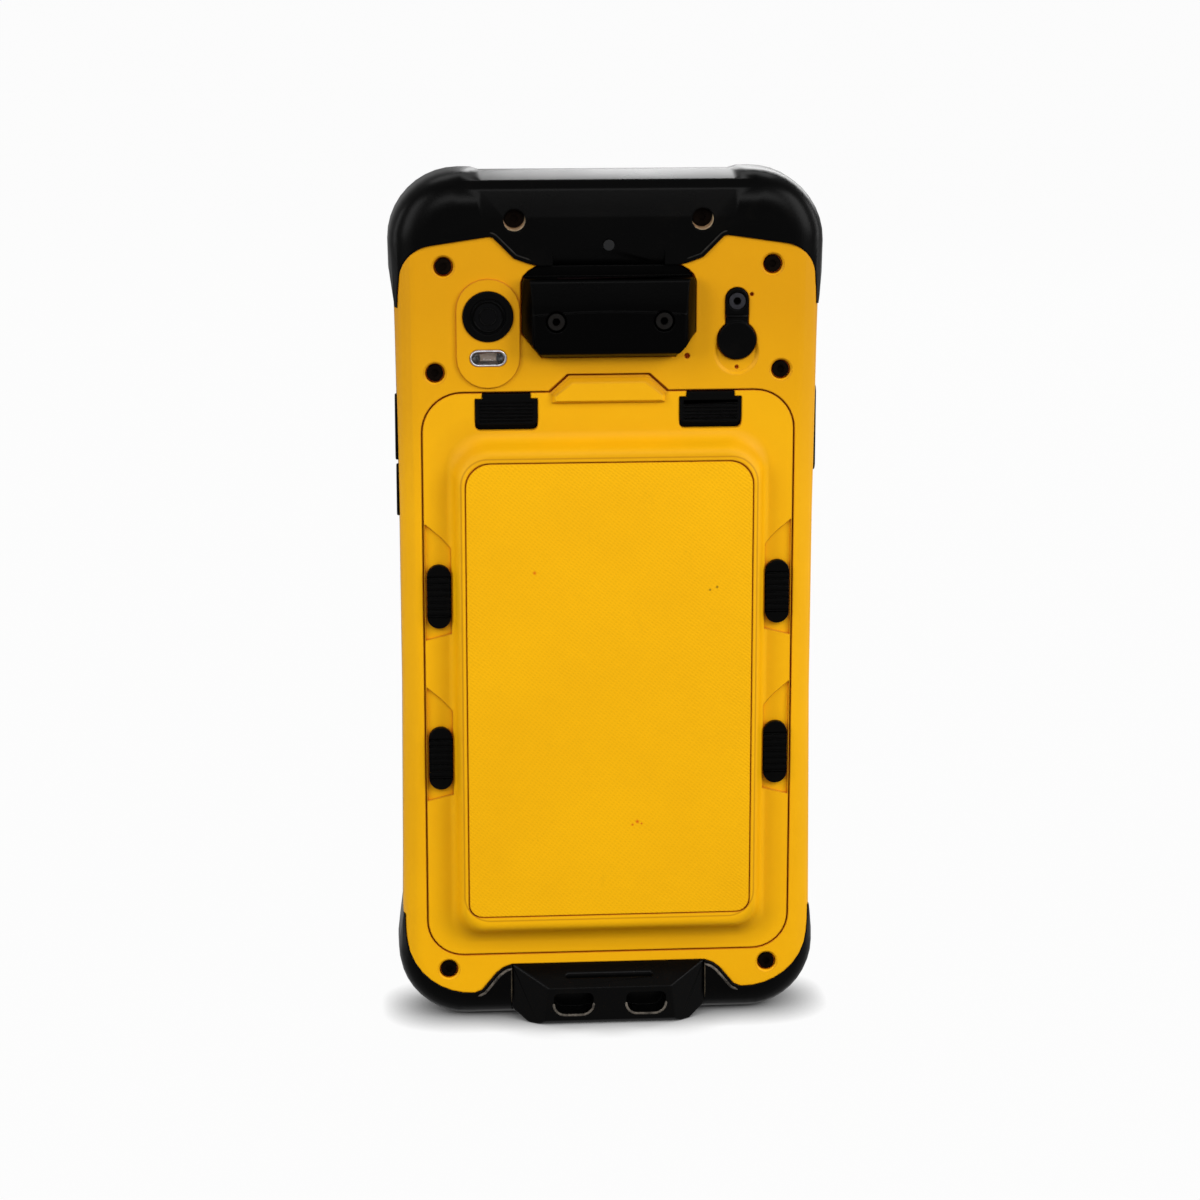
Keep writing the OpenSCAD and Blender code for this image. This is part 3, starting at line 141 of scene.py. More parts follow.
class Nodes:
    """A material with short calls for its node tree."""

    def __init__(self, name):
        self.mat = bpy.data.materials.new(name)
        self.mat.use_nodes = True
        self.tree = self.mat.node_tree
        self.bsdf = self.tree.nodes["Principled BSDF"]
        self.pos = self.add("ShaderNodeTexCoord").outputs["Object"]

    def add(self, kind, **values):
        node = self.tree.nodes.new(kind)
        for key, value in values.items():
            setattr(node, key, value)
        return node

    def link(self, a, b):
        self.tree.links.new(a, b)

    def put(self, socket, value):
        if hasattr(value, "is_linked"):
            self.link(value, socket)
        else:
            socket.default_value = value

    def math(self, operation, *values):
        return math_node(self.tree, operation, *values)

    def times(self, a, b):
        return self.math("MULTIPLY", a, b)

    def length(self, a, b):
        """Length of the two sides' diagonal."""
        return self.math("SQRT", self.math("ADD", self.times(a, a), self.times(b, b)))

    def noise(self, scale, detail=2.0, rough=0.5, stretch=None):
        node = self.add("ShaderNodeTexNoise")
        node.inputs["Scale"].default_value = scale
        node.inputs["Detail"].default_value = detail
        node.inputs["Roughness"].default_value = rough
        pos = self.pos
        if stretch:
            mapping = self.add("ShaderNodeMapping")
            mapping.inputs["Scale"].default_value = stretch
            self.link(self.pos, mapping.inputs["Vector"])
            pos = mapping.outputs[0]
        self.link(pos, node.inputs["Vector"])
        return node.outputs["Fac"]

    def ramp(self, value, *stops):
        """Grey ramp between two stops of place and level."""
        node = self.add("ShaderNodeValToRGB")
        for element, (place, level) in zip(node.color_ramp.elements, stops):
            element.position = place
            element.color = (level, level, level, 1)
        self.link(value, node.inputs["Fac"])
        return node.outputs["Color"]

    def mix(self, fac, a, b):
        node = self.add("ShaderNodeMix", data_type="RGBA")
        self.put(node.inputs[0], fac)
        self.put(node.inputs[6], a)
        self.put(node.inputs[7], b)
        return node.outputs[2]

    def split(self):
        """The x, y and z of the place on the object."""
        node = self.add("ShaderNodeSeparateXYZ")
        self.link(self.pos, node.inputs[0])
        return node.outputs

    def spot(self, x, z, radius, soft=0.4):
        """1 near the line through x, z along the depth, 0 outside the radius, in millimetres."""
        sx, _, sz = self.split()
        dx = self.math("SUBTRACT", sx, x * MM)
        dz = self.math("SUBTRACT", sz, z * MM)
        r = self.length(dx, dz)
        return self.span(r, radius * MM, radius * MM * (1 - soft))

    def span(self, value, low, high):
        """0 to 1 as a value goes from low to high, both in metres."""
        node = self.add("ShaderNodeMapRange")
        node.inputs["From Min"].default_value = low
        node.inputs["From Max"].default_value = high
        self.link(value, node.inputs["Value"])
        return node.outputs[0]

    def outside(self, z0, z1, half_w, radius):
        """Distance outside a rounded rectangle about x = 0, in metres; its sizes are in millimetres."""
        x, _, z = self.split()
        height = self.math("SUBTRACT", z, (z0 + z1) / 2 * MM)
        across = self.math("SUBTRACT", self.math("ABSOLUTE", x), (half_w - radius) * MM)
        up = self.math("SUBTRACT", self.math("ABSOLUTE", height), ((z1 - z0) / 2 - radius) * MM)
        across, up = self.math("MAXIMUM", across, 0.0), self.math("MAXIMUM", up, 0.0)
        return self.math("SUBTRACT", self.length(across, up), radius * MM)

    def edge_mask(self, radius):
        """1 along convex edges, 0 on flat faces, from how far the bevelled normal leans."""
        soft = self.add("ShaderNodeBevel", samples=6)
        soft.inputs["Radius"].default_value = radius
        flat = self.add("ShaderNodeNewGeometry").outputs["Normal"]
        dot = self.add("ShaderNodeVectorMath", operation="DOT_PRODUCT")
        self.link(soft.outputs[0], dot.inputs[0])
        self.link(flat, dot.inputs[1])
        lean = self.math("SUBTRACT", 1.0, dot.outputs["Value"])
        return self.ramp(lean, (0.015, 0.0), (0.14, 1.0))

    def crevice(self, distance):
        """1 deep in gaps and holes narrower than about the distance, 0 on open faces, from ambient
        occlusion; it masks painted shade.
        """
        node = self.add("ShaderNodeAmbientOcclusion", samples=6)
        node.inputs["Distance"].default_value = distance
        return self.ramp(self.math("SUBTRACT", 1.0, node.outputs["AO"]), (0.35, 0.0), (0.8, 1.0))

    def paint(self, fac, amount, text):
        """Tints the base colour towards a hex colour, as much as fac times the amount."""
        socket = self.bsdf.inputs["Base Color"]
        self.link(self.mix(self.times(fac, amount), socket.links[0].from_socket, srgb(text)), socket)

    def bump(self, height, distance, strength=1.0, edge=0.0002):
        """Bump over edges that are softened by a small radius."""
        node = self.add("ShaderNodeBump")
        node.inputs["Strength"].default_value = strength
        node.inputs["Distance"].default_value = distance
        self.link(height, node.inputs["Height"])
        if edge:
            soft = self.add("ShaderNodeBevel", samples=4)
            soft.inputs["Radius"].default_value = edge
            self.link(soft.outputs[0], node.inputs["Normal"])
        self.link(node.outputs[0], self.bsdf.inputs["Normal"])

    def set(self, **values):
        names = {"rough": "Roughness", "metal": "Metallic", "spec": "Specular IOR Level", "ior": "IOR",
                 "coat": "Coat Weight", "coat_rough": "Coat Roughness", "sheen": "Sheen Weight",
                 "trans": "Transmission Weight", "color": "Base Color", "emit": "Emission Strength"}
        for key, value in values.items():
            self.put(self.bsdf.inputs[names[key]], value)
        return self


# ---- materials ----------------------------------------------------------------------

# Tints: rubbed-in scuffs, a darker tone towards the top that is also painted shade on the raised field's
# upper slope, darker convex edges, painted shade in seams, and painted shade round the raised field
SCUFF, DARK_TINT, EDGE, SEAM_SHADE, FIELD_SHADE = "8A5A12", "B97A02", "A04E08", "D05A06", "8A5602"


def yellow_plastic(name, base="F2B005", worn="EAA904", pale="F6B90E", top_darkening=0.0):
    """Fine spark-eroded moulded plastic with faint scuffs, a darker tone towards the top, darker convex
    edges and painted shade in its gaps.
    """
    m = Nodes(name)
    cloud = m.noise(28, 3, 0.6)
    m.set(color=m.mix(m.ramp(cloud, (0.35, 0.0), (0.68, 1.0)), srgb(base), srgb(worn)), spec=0.14)
    m.paint(m.ramp(m.noise(420, 2, 0.6), (0.52, 0.0), (0.75, 1.0)), 0.15, pale)
    m.paint(m.ramp(m.noise(90, 5, 0.75, (1, 1, 0.35)), (0.64, 0.0), (0.78, 1.0)), 0.10, SCUFF)
    # A darker tone towards the top, as much as the given amount
    m.paint(m.ramp(m.split()[2], (0.098, 0.0), (0.136, 1.0)), top_darkening, DARK_TINT)
    # Darker along convex edges
    m.paint(m.edge_mask(0.0004), 0.5, EDGE)
    # Painted shade in seams and holes, from ambient occlusion
    m.paint(m.crevice(0.0012), 0.85, SEAM_SHADE)
    m.set(rough=m.math("ADD", 0.42, m.times(cloud, 0.16)))
    m.bump(m.noise(3600, 2, 0.5), 0.000012, 0.6, 0.0003)
    return m


def housing_plastic(name):
    """Yellow plastic, darker towards the top, with a pale ring and painted shade in each of the bumper's two
    screw holes.
    """
    m = yellow_plastic(name, top_darkening=0.55)
    for side in (-1, 1):
        x, z, r = side * BUMPER_HOLE_X, BUMPER_HOLE_Z, BUMPER_HOLE_R
        # A pale ring round each hole, then painted shade over the collar inside it, all but its lower
        # crescent
        m.paint(m.spot(x, z, r + 0.4, 0.05), 0.75, "E2D2B4")
        m.paint(m.spot(x, z + 0.35, r, 0.06), 1.0, "060403")
    return m


def cover_plastic(name):
    """Yellow plastic with painted shade round the foot of the raised field, on its upper slope, along a line
    round the panel and above the finger lip.
    """
    m = yellow_plastic(name, "F2B204", "ECAC04", "F4BA10", top_darkening=0.28)
    x, _, z = m.split()
    away = m.math("ABSOLUTE", x)
    foot = m.outside(FIELD_Z0, FIELD_Z1, FIELD_HALF_W, FIELD_R)
    # Painted shade on the flat border outside the foot, darker on the left
    border = m.times(m.span(foot, 0.0050, 0.0012), m.span(foot, 0.0002, 0.0010))
    border = m.times(border, m.math("ADD", m.times(m.span(x, 0.02, -0.02), 0.09), 0.04))
    # Painted shade in the hollow under the field's lower end
    low = m.times(m.span(foot, 0.0046, 0.0002), m.span(foot, -0.0014, 0.0002))
    low = m.times(low, m.times(m.span(z, 0.024, 0.017), 0.32))
    m.paint(m.math("MAXIMUM", border, low), 1.0, FIELD_SHADE)
    # Painted shade on the slope at the field's upper end
    m.paint(m.times(m.span(z, 0.1065, 0.1095), m.span(foot, 0.0016, 0.0004)), 0.22, DARK_TINT)
    # A second fine line round the textured panel, of painted shade 0.9 mm outside it
    shade_line = m.math("SUBTRACT", m.outside(PANEL_Z0, PANEL_Z1, PANEL_HALF_W, PANEL_R), 0.0009)
    m.paint(m.span(m.math("ABSOLUTE", shade_line), 0.00022, 0.00006), 0.45, "9A5A06")
    # Painted shade on the band above the finger lip, between its slanting ends
    slant = m.times(m.math("MAXIMUM", m.math("SUBTRACT", away, 0.0066), 0.0), 0.777)
    above = m.span(m.math("ADD", z, slant), (COVER_TOP + 1.3) * MM, (COVER_TOP + 1.7) * MM)
    lip = m.times(m.span(away, 0.0112, 0.0108), m.span(z, (COVER_TOP - 1.2) * MM, (COVER_TOP - 0.6) * MM))
    m.paint(m.times(above, lip), 0.45, "A86A04")
    return m


def black_plastic(name, base="020202", rough=0.34, spec=0.05, grain=0.000014, dust=0.02):
    """Black moulded plastic with a fine grain and a little dust."""
    m = Nodes(name)
    fleck = m.ramp(m.noise(160, 5, 0.7), (0.58, 0.0), (0.85, 1.0))
    m.set(color=m.mix(m.times(fleck, dust), srgb(base), srgb("4A443C")), spec=spec)
    m.set(rough=m.math("ADD", rough - 0.05, m.times(m.noise(60, 3, 0.6), 0.12)))
    m.bump(m.noise(2800, 2, 0.5), grain, 0.7, 0.00022)
    return m


def rubber(name, base="010101"):
    """Soft overmould rubber, slightly dusty."""
    m = Nodes(name)
    fleck = m.ramp(m.noise(120, 6, 0.75), (0.56, 0.0), (0.85, 1.0))
    m.set(color=m.mix(m.times(fleck, 0.02), srgb(base), srgb("5A5248")), spec=0.06)
    m.set(rough=m.math("ADD", 0.22, m.times(m.noise(45, 3, 0.6), 0.14)))
    m.bump(m.noise(2200, 3, 0.6), 0.000014, 0.5, 0.0004)
    return m


def metal(name, base, rough=0.35, dark="1A1614"):
    """Plated or blackened metal with a little grime."""
    m = Nodes(name)
    grime = m.ramp(m.noise(900, 3, 0.6), (0.45, 0.0), (0.7, 1.0))
    m.set(color=m.mix(m.times(grime, 0.5), srgb(base), srgb(dark)), metal=1.0)
    m.set(rough=m.math("ADD", rough, m.times(m.noise(1500, 2, 0.5), 0.15)))
    m.bump(m.noise(3000, 2, 0.5), 0.00001, 0.5, 0.00008)
    return m


def socket_metal(name, base, places):
    """Blackened screw heads with painted shade for the sockets at the given places, in millimetres."""
    m = metal(name, base, 0.5)
    for x, z in places:
        # Painted shade where each socket is
        m.paint(m.spot(x, z, 0.8, 0.25), 1.0, "020202")
    return m


# Place, radius and colour of each speck on the textured panel, in millimetres
SPECKS = [(-13.9, 87.9, 0.45, "D8500A"), (19.9, 84.7, 0.35, "5A3A10"), (18.6, 84.2, 0.3, "5A3A10"),
          (5.2, 39.8, 0.5, "D23A12"), (4.3, 39.2, 0.32, "D23A12"), (6.0, 39.4, 0.3, "D23A12")]
BEAD_PITCH = 0.00055


def panel_grain(name):
    """The pad on the battery cover: rows of fine beads along a diagonal, with a few specks."""
    m = Nodes(name)
    x, _, z = m.split()
    turns = 2 * math.pi / BEAD_PITCH
    along = m.math("ADD", m.times(x, 0.60), m.times(z, 0.80))
    across = m.math("SUBTRACT", m.times(x, 0.80), m.times(z, 0.60))
    warp = m.times(m.noise(300, 2, 0.5), 0.0005)
    rows = m.math("SINE", m.times(m.math("ADD", along, warp), turns))
    beads = m.math("SINE", m.times(m.math("ADD", across, warp), turns * 0.7))
    height = m.math("ADD", m.times(m.math("ADD", rows, 1.0), 0.32), m.times(m.math("ADD", beads, 1.0), 0.18))
    cloud = m.noise(35, 4, 0.65)
    m.set(color=m.mix(m.ramp(cloud, (0.35, 0.0), (0.7, 1.0)), srgb("F4B507"), srgb("EEAF06")), spec=0.1)
    m.paint(m.ramp(height, (0.1, 1.0), (0.45, 0.0)), 0.2, "C98A04")
    m.paint(m.ramp(m.noise(140, 6, 0.8, (1, 1, 0.5)), (0.62, 0.0), (0.74, 1.0)), 0.10, SCUFF)
    for speck_x, speck_z, r, tone in SPECKS:
        m.paint(m.spot(speck_x, speck_z, r, 0.8), 0.8, tone)
    # Darker along convex edges
    m.paint(m.edge_mask(0.0003), 0.5, EDGE)
    # Painted shade in the panel's gaps, from ambient occlusion
    m.paint(m.crevice(0.0008), 0.85, SEAM_SHADE)
    m.set(rough=m.math("ADD", 0.46, m.times(cloud, 0.12)))
    m.bump(height, 0.00005, 0.8, 0.0002)
    return m


def gloss_black(name, base="030304", rough=0.06, spec=0.2, coat=0.1):
    """Polished black, as cover glass or a lens."""
    m = Nodes(name)
    m.set(color=m.mix(m.noise(40), srgb(base), srgb("050506")), spec=spec, coat=coat, coat_rough=0.03)
    m.set(rough=m.math("ADD", rough, m.times(m.noise(70, 4, 0.7), 0.05)))
    m.bump(m.noise(900, 2), 0.000002, 0.4, 0.00012)
    return m


def screen_glass(name):
    """Cover glass with a black printed border round the display, and a paler ring round the camera."""
    m = gloss_black(name, "010102", 0.05, 0.35)
    low, high = (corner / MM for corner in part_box("display_panel"))
    view = m.outside(low.z + DISPLAY_EDGE, high.z - DISPLAY_EDGE, high.x - DISPLAY_EDGE, 1.0)
    m.paint(m.span(view, 0.0001, -0.0001), 1.0, "0C0D10")
    low, high = (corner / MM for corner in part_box("front_camera"))
    middle = (low + high) / 2
    m.paint(m.spot(middle.x, middle.z, 1.9, 0.1), 1.0, "14151A")
    m.paint(m.spot(middle.x, middle.z, 1.2, 0.1), 1.0, "010102")
    return m


def clear(name, tint="F2F4F6", rough=0.03):
    """Clear moulded window."""
    m = Nodes(name)
    m.set(color=m.mix(m.times(m.noise(200, 3), 0.2), srgb(tint), srgb("D8DCE0")), trans=1.0, ior=1.49)
    m.set(rough=m.math("ADD", rough, m.times(m.noise(300, 3), 0.04)))
    return m


def board(name, base="0E4A26"):
    """Green circuit board with faint tracks."""
    m = Nodes(name)
    tracks = m.ramp(m.noise(600, 1, 0.3, (1, 1, 0.3)), (0.48, 0.0), (0.52, 1.0))
    m.set(color=m.mix(m.times(tracks, 0.5), srgb(base), srgb("1B7038")), spec=0.5, rough=0.35)
    m.bump(tracks, 0.00003, 0.4, 0)
    return m


def dust_and_sheen(name, base="4A443E", pale="8A8178"):
    """Rubbed, dusty edge of a black moulding; where it lines the shoulders, its pale colour is a painted
    highlight.
    """
    m = Nodes(name)
    patch = m.ramp(m.noise(500, 4, 0.7), (0.35, 0.0), (0.75, 1.0))
    m.set(color=m.mix(patch, srgb(base), srgb(pale)), spec=0.2, rough=0.7)
    m.bump(m.noise(2600, 3), 0.00002, 0.6, 0)
    return m


def led_phosphor(name):
    """Yellowish brown face of an unlit lamp."""
    m = Nodes(name)
    m.set(color=m.mix(m.noise(2500, 2), srgb("A58C74"), srgb("8C7565")), spec=0.3, rough=0.4)
    m.bump(m.noise(4000), 0.00001, 0.4, 0.0001)
    return m


M = {
    "yellow": housing_plastic("yellow_plastic").mat,
    "yellow_cover": cover_plastic("yellow_cover").mat,
    "panel": panel_grain("panel_grain").mat,
    "black": black_plastic("black_plastic").mat,
    "hump": black_plastic("hump_plastic", "010101", 0.28, 0.035, dust=0.004).mat,
    "anchor": black_plastic("anchor_plastic", "030303", 0.26, 0.08, dust=0.03).mat,
    "latch": black_plastic("latch_plastic", "020202", 0.34, 0.06).mat,
    "inner": black_plastic("inner_plastic", "0A0A0B", 0.5, 0.2).mat,
    "rubber": rubber("bumper_rubber").mat,
    "seal": rubber("seal_rubber", "0C0C0C").mat,
    "screw": metal("black_screw", "120D0A", 0.5, "060404").mat,
    "screw_hump": socket_metal("hump_screw", "1E1D1C",
                               [(side * SCAN_SCREW_X, SCAN_SCREW_Z) for side in (-1, 1)]).mat,
    "screw_plug": socket_metal("plug_screw", "343438", [(PLUG_X, PLUG_SCREW_Z)]).mat,
    "steel": metal("steel", "8E8F92", 0.3, "3A3836").mat,
    "mirror": metal("flash_mirror", "C8C8CC", 0.16, "77726C").mat,
    "gold": metal("gold_contact", "C49A3C", 0.25, "6A4E1C").mat,
    "glass_black": screen_glass("screen_glass").mat,
    "keys": black_plastic("key_plastic", "101011", 0.38, 0.35, dust=0.05).mat,
    "lens": gloss_black("lens_glass", "010102", 0.03, 0.08, 0.0).mat,
    "window": gloss_black("scan_glass", "1A0406", 0.05).mat,
    "clear": clear("clear_plastic").mat,
    "display": gloss_black("display_panel", "040405", 0.12).mat,
    "board": board("green_board").mat,
    "cell": black_plastic("cell_wrap", "2A2D32", 0.4, 0.3).mat,
    "vent": black_plastic("vent_membrane", "131314", 0.6, 0.2, 0.00004).mat,
    "dust": dust_and_sheen("dusty_edge", "1E1B18", "7C746A").mat,
    "shoulder_sheen": dust_and_sheen("faint_painted_sheen", "080807", "2A2723").mat,
    "dust_brown": dust_and_sheen("brown_dusty_seam", "120F0B", "4E4434").mat,
    "led": led_phosphor("led_phosphor").mat,
}

# The CAD nodes that wear each material
DRESS = {
    "yellow": ["rear_housing"], "yellow_cover": ["battery_cover"], "panel": ["battery_panel"],
    "anchor": ["strap_anchor"],
    "keys": ["back_key", "home_key", "menu_key"],
    "black": ["front_housing", "camera_bezel", "lock_upper_left", "lock_upper_right", "lock_lower_left",
              "lock_lower_right"],
    "hump": ["scanner_cover"],
    "latch": ["latch_left", "latch_right"],
    "inner": ["battery_tray", "camera_module", "front_camera", "loudspeaker", "scan_engine"],
    "rubber": ["top_bumper", "bottom_bumper", "plug_strap", "port_plug", "power_key", "scan_key",
               "volume_rocker"],
    "seal": ["housing_seal", "cover_seal", "display_gasket"],
    "screw": ["housing_screws", "bumper_screws"],
    "screw_hump": ["scanner_screws"], "screw_plug": ["plug_screw"],
    "steel": ["usb_receptacle", "vibration_motor", "shield_cans", "earpiece", "latch_spring_left",
              "latch_spring_right", "side_switches"],
    "gold": ["battery_contacts", "service_port"],
    "glass_black": ["display_glass"], "lens": ["camera_lens"], "window": ["scan_window"],
    "clear": ["flash_lens"], "display": ["display_panel"],
    "board": ["main_board", "battery_circuit", "keypad_board"],
    "cell": ["battery_cell"], "led": ["flash_led"], "vent": ["pressure_vent"],
}
for key, names in DRESS.items():
    for name in names:
        data = nodes[name].data
        data.materials.clear()
        data.materials.append(M[key])


# ---- softened edges on the CAD nodes ---------------------------------------------------

def soft_shade():
    """Geometry nodes that shade smooth and keep edges over 35 degrees sharp."""
    tree = bpy.data.node_groups.new("soft_shade", "GeometryNodeTree")
    tree.interface.new_socket("Geometry", in_out="INPUT", socket_type="NodeSocketGeometry")
    tree.interface.new_socket("Geometry", in_out="OUTPUT", socket_type="NodeSocketGeometry")
    n_in, n_out = tree.nodes.new("NodeGroupInput"), tree.nodes.new("NodeGroupOutput")
    smooth = tree.nodes.new("GeometryNodeSetShadeSmooth")
    smooth.domain = "FACE"
    sharp = tree.nodes.new("GeometryNodeSetShadeSmooth")
    sharp.domain = "EDGE"
    sharp.inputs["Shade Smooth"].default_value = False
    angle = tree.nodes.new("GeometryNodeInputMeshEdgeAngle")
    over = tree.nodes.new("FunctionNodeCompare")
    over.inputs[1].default_value = math.radians(35)
    tree.links.new(angle.outputs[0], over.inputs[0])
    tree.links.new(over.outputs[0], sharp.inputs["Selection"])
    tree.links.new(n_in.outputs[0], smooth.inputs[0])
    tree.links.new(smooth.outputs[0], sharp.inputs[0])
    tree.links.new(sharp.outputs[0], n_out.inputs[0])
    return tree


SHADE = soft_shade()


def soften(obj, width):
    """Merges flat faces, rounds edges by a width in millimetres, and shades them."""
    weld = obj.modifiers.new("weld", "WELD")
    weld.merge_threshold = 2e-6
    flat = obj.modifiers.new("flat", "DECIMATE")
    flat.decimate_type = "DISSOLVE"
    flat.angle_limit = math.radians(0.4)
    if width:
        bevel = obj.modifiers.new("bevel", "BEVEL")
        bevel.width = width * MM
        bevel.segments = 2
        bevel.limit_method = "ANGLE"
        bevel.angle_limit = math.radians(30)
        bevel.use_clamp_overlap = False
        bevel.miter_outer = "MITER_ARC"
    shade = obj.modifiers.new("shade", "NODES")
    shade.node_group = SHADE
    normal = obj.modifiers.new("normal", "WEIGHTED_NORMAL")
    normal.keep_sharp = True


BEVELS = {"strap_anchor": 0.3, "scanner_cover": 0.25, "camera_bezel": 0.15, "port_plug": 0.2,
          "plug_strap": 0.15, "latch_left": 0.1, "latch_right": 0.1,
          "lock_upper_left": 0.12, "lock_upper_right": 0.12,
          "lock_lower_left": 0.12, "lock_lower_right": 0.12,
          "power_key": 0.25, "scan_key": 0.25, "volume_rocker": 0.25,
          "back_key": 0.15, "home_key": 0.15, "menu_key": 0.15}
for name, obj in nodes.items():
    soften(obj, BEVELS.get(name, 0.0))


# ---- added pieces --------------------------------------------------------------------------

def piece(name, bm, material, body="case"):
    """Mesh object from a bmesh in millimetres, riding on a body."""
    bmesh.ops.scale(bm, vec=(MM, MM, MM), verts=bm.verts)
    bmesh.ops.recalc_face_normals(bm, faces=bm.faces)
    for face in bm.faces:
        face.smooth = True
    mesh = bpy.data.meshes.new(name)
    bm.to_mesh(mesh)
    bm.free()
    obj = bpy.data.objects.new(name, mesh)
    bpy.context.scene.collection.objects.link(obj)
    mesh.materials.append(M[material])
    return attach(obj, body)


def rings(bm, loops, close=False):
    """Skin between loops of points, closed into a ring or with a face over each end."""
    made = [[bm.verts.new(p) for p in loop] for loop in loops]
    n = len(made[0])
    pairs = list(zip(made, made[1:]))
    if close:
        pairs.append((made[-1], made[0]))
    for a, b in pairs:
        for i in range(n):
            j = (i + 1) % n
            bm.faces.new((a[i], a[j], b[j], b[i]))
    if not close:
        bm.faces.new(made[0])
        bm.faces.new(list(reversed(made[-1])))


def tube(name, points, radius, material):
    """Round bead along a list of points, tapered at its ends."""
    pts = [Vector(p) for p in points]
    last = len(pts) - 1
    loops = []
    for i, p in enumerate(pts):
        along = (pts[min(i + 1, last)] - pts[max(i - 1, 0)]).normalized()
        side = along.cross(Vector((0, 1, 0))).normalized()
        up = side.cross(along)
        r = radius if 0 < i < last else radius * 0.3
        loops.append([tuple(p + side * (r * math.cos(a)) + up * (r * math.sin(a))) for a in turn(8)])
    bm = bmesh.new()
    rings(bm, loops)
    return piece(name, bm, material)


def smooth_path(points, step=0.5):
    """The points of a line with more points between them."""
    out = []
    for (x0, z0), (x1, z1) in zip(points, points[1:]):
        count = max(1, int(math.hypot(x1 - x0, z1 - z0) / step))
        out += [(x0 + (x1 - x0) * i / count, z0 + (z1 - z0) * i / count) for i in range(count)]
    return out + [points[-1]]


def offset(points, distance):
    """The line moved sideways, to its left."""
    out = []
    for i, (x, z) in enumerate(points):
        x0, z0 = points[max(i - 1, 0)]
        x1, z1 = points[min(i + 1, len(points) - 1)]
        length = math.hypot(x1 - x0, z1 - z0) or 1
        out.append((x - (z1 - z0) / length * distance, z + (x1 - x0) / length * distance))
    return out


def capsule(x, z, w, h, inset):
    """Outline of a lying slot with round ends."""
    r = h / 2 - inset
    return arc(x + w / 2 - h / 2, z, r, -90, 90, 8) + arc(x - w / 2 + h / 2, z, r, 90, 270, 8)


def flash():
    """Clear window with a mirror dish behind it, a frame round it, and two dark posts."""
    def skin(steps, close=False):
        """Slot-shaped loops, each with its inset and its depth behind the camera pad's face."""
        bm = bmesh.new()
        rings(bm, [[(x, POD_Y + depth, z) for x, z in capsule(CAMERA_X, FLASH_Z, FLASH_W, FLASH_H, inset)]
                   for inset, depth in steps], close)
        return bm

    bm = skin([(0.02, 0.6), (0.02, 0.05), (0.12, -0.05), (0.4, -0.1), (0.9, -0.1)])
    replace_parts(piece("flash_window", bm, "clear"), "flash_lens")
    bm = skin([(0.05, 0.7), (0.3, 0.75), (0.55, 1.15), (1.0, 1.45), (1.0, 1.6), (0.05, 1.6)], close=True)
    piece("flash_dish", bm, "mirror")
    bm = skin([(0.0, -0.02), (0.05, -0.1), (0.28, -0.12), (0.36, -0.04), (0.3, 0.2)], close=True)
    piece("flash_frame", bm, "mirror")
    for side, name in ((-1, "left"), (1, "right")):
        x = CAMERA_X + side * 1.75
        bm = bmesh.new()
        rings(bm, [[(x + 0.32 * math.cos(a), y, FLASH_Z + 0.75 * math.sin(a)) for a in turn(12)]
                   for y in (POD_Y + 0.72, POD_Y + 1.5)])
        piece("flash_post_" + name, bm, "inner")


def camera_rings():
    """Two ring steps in front of the lens glass."""
    for name, r, width, material in (("camera_ring_outer", 2.75, 0.28, "hump"),
                                     ("camera_ring_inner", 1.55, 0.14, "black")):
        bm = bmesh.new()
        steps = [(r - width, POD_Y + 0.02), (r - width * 0.7, POD_Y - 0.1), (r + width * 0.6, POD_Y - 0.14),
                 (r + width, POD_Y - 0.02), (r + width, POD_Y + 0.3), (r - width, POD_Y + 0.3)]
        rings(bm, [[(CAMERA_X + s * math.cos(a), y, CAMERA_Z + s * math.sin(a)) for a in turn(48)]
                   for s, y in steps], close=True)
        piece(name, bm, material)


def lips():
    """Beads of the bumpers beside the housing and the anchor, and under the strap eyes: rubbed and dusty at
    the hips, the anchor and the eyes, with a faint painted highlight along the shoulders.
    """
    edge = half_w(CASE_H - 21) - PROUD - 0.9
    shoulder = arc(edge - 16.2, CASE_H - 13, 1.5, 95, 135, 4)
    shoulder += [(NECK_X + 4.6, NECK_Z + 1.4), (NECK_X + 1.8, NECK_Z + 0.4)]
    shoulder = offset(smooth_path(shoulder), -0.75)
    low = half_w(18) - PROUD - 0.45
    hip = [(low - 13.2, 5.6), (low - 14.3, 6.1), (ANCHOR_W / 2 + 2.9, ANCHOR_H - 1.5),
           (ANCHOR_W / 2 + 1.6, ANCHOR_H - 0.5), (ANCHOR_W / 2 + 0.3, ANCHOR_H)]
    hip = offset(smooth_path(hip), 0.8)
    for side, name in ((-1, "left"), (1, "right")):
        # The shoulder beads' pale colour is a painted highlight along the bumper's edge
        tube("shoulder_lip_" + name, [(side * x, OUTER_BACK_Y - 0.02, z) for x, z in shoulder],
                     0.14, "shoulder_sheen")
        tube("hip_lip_" + name, [(side * x, OUTER_BACK_Y + 0.02, z) for x, z in hip],
                     0.26, "dust")
        seam = [(side * (ANCHOR_W / 2 + 0.1), OUTER_BACK_Y + 0.03, z) for z in (3.5, 5.0, 7.0, 9.0, 10.6)]
        tube("anchor_seam_" + name, seam, 0.13, "dust_brown")
        inner = EYE_R - EYE_CORNER
        u = [(-EYE_R, 4.4)] + arc(-inner, EYE_LOW + EYE_CORNER, EYE_CORNER, 180, 270, 6)
        u += arc(inner, EYE_LOW + EYE_CORNER, EYE_CORNER, 270, 360, 6) + [(EYE_R, 4.4)]
        pts = [(side * EYE_X + x * 1.03, BACK_Y - ANCHOR_D + 0.5 * (FACE_Z - z) / 6.6 + 0.06, z - 0.06)
               for x, z in smooth_path(u)]
        tube("eye_lip_" + name, pts, 0.24, "dust")


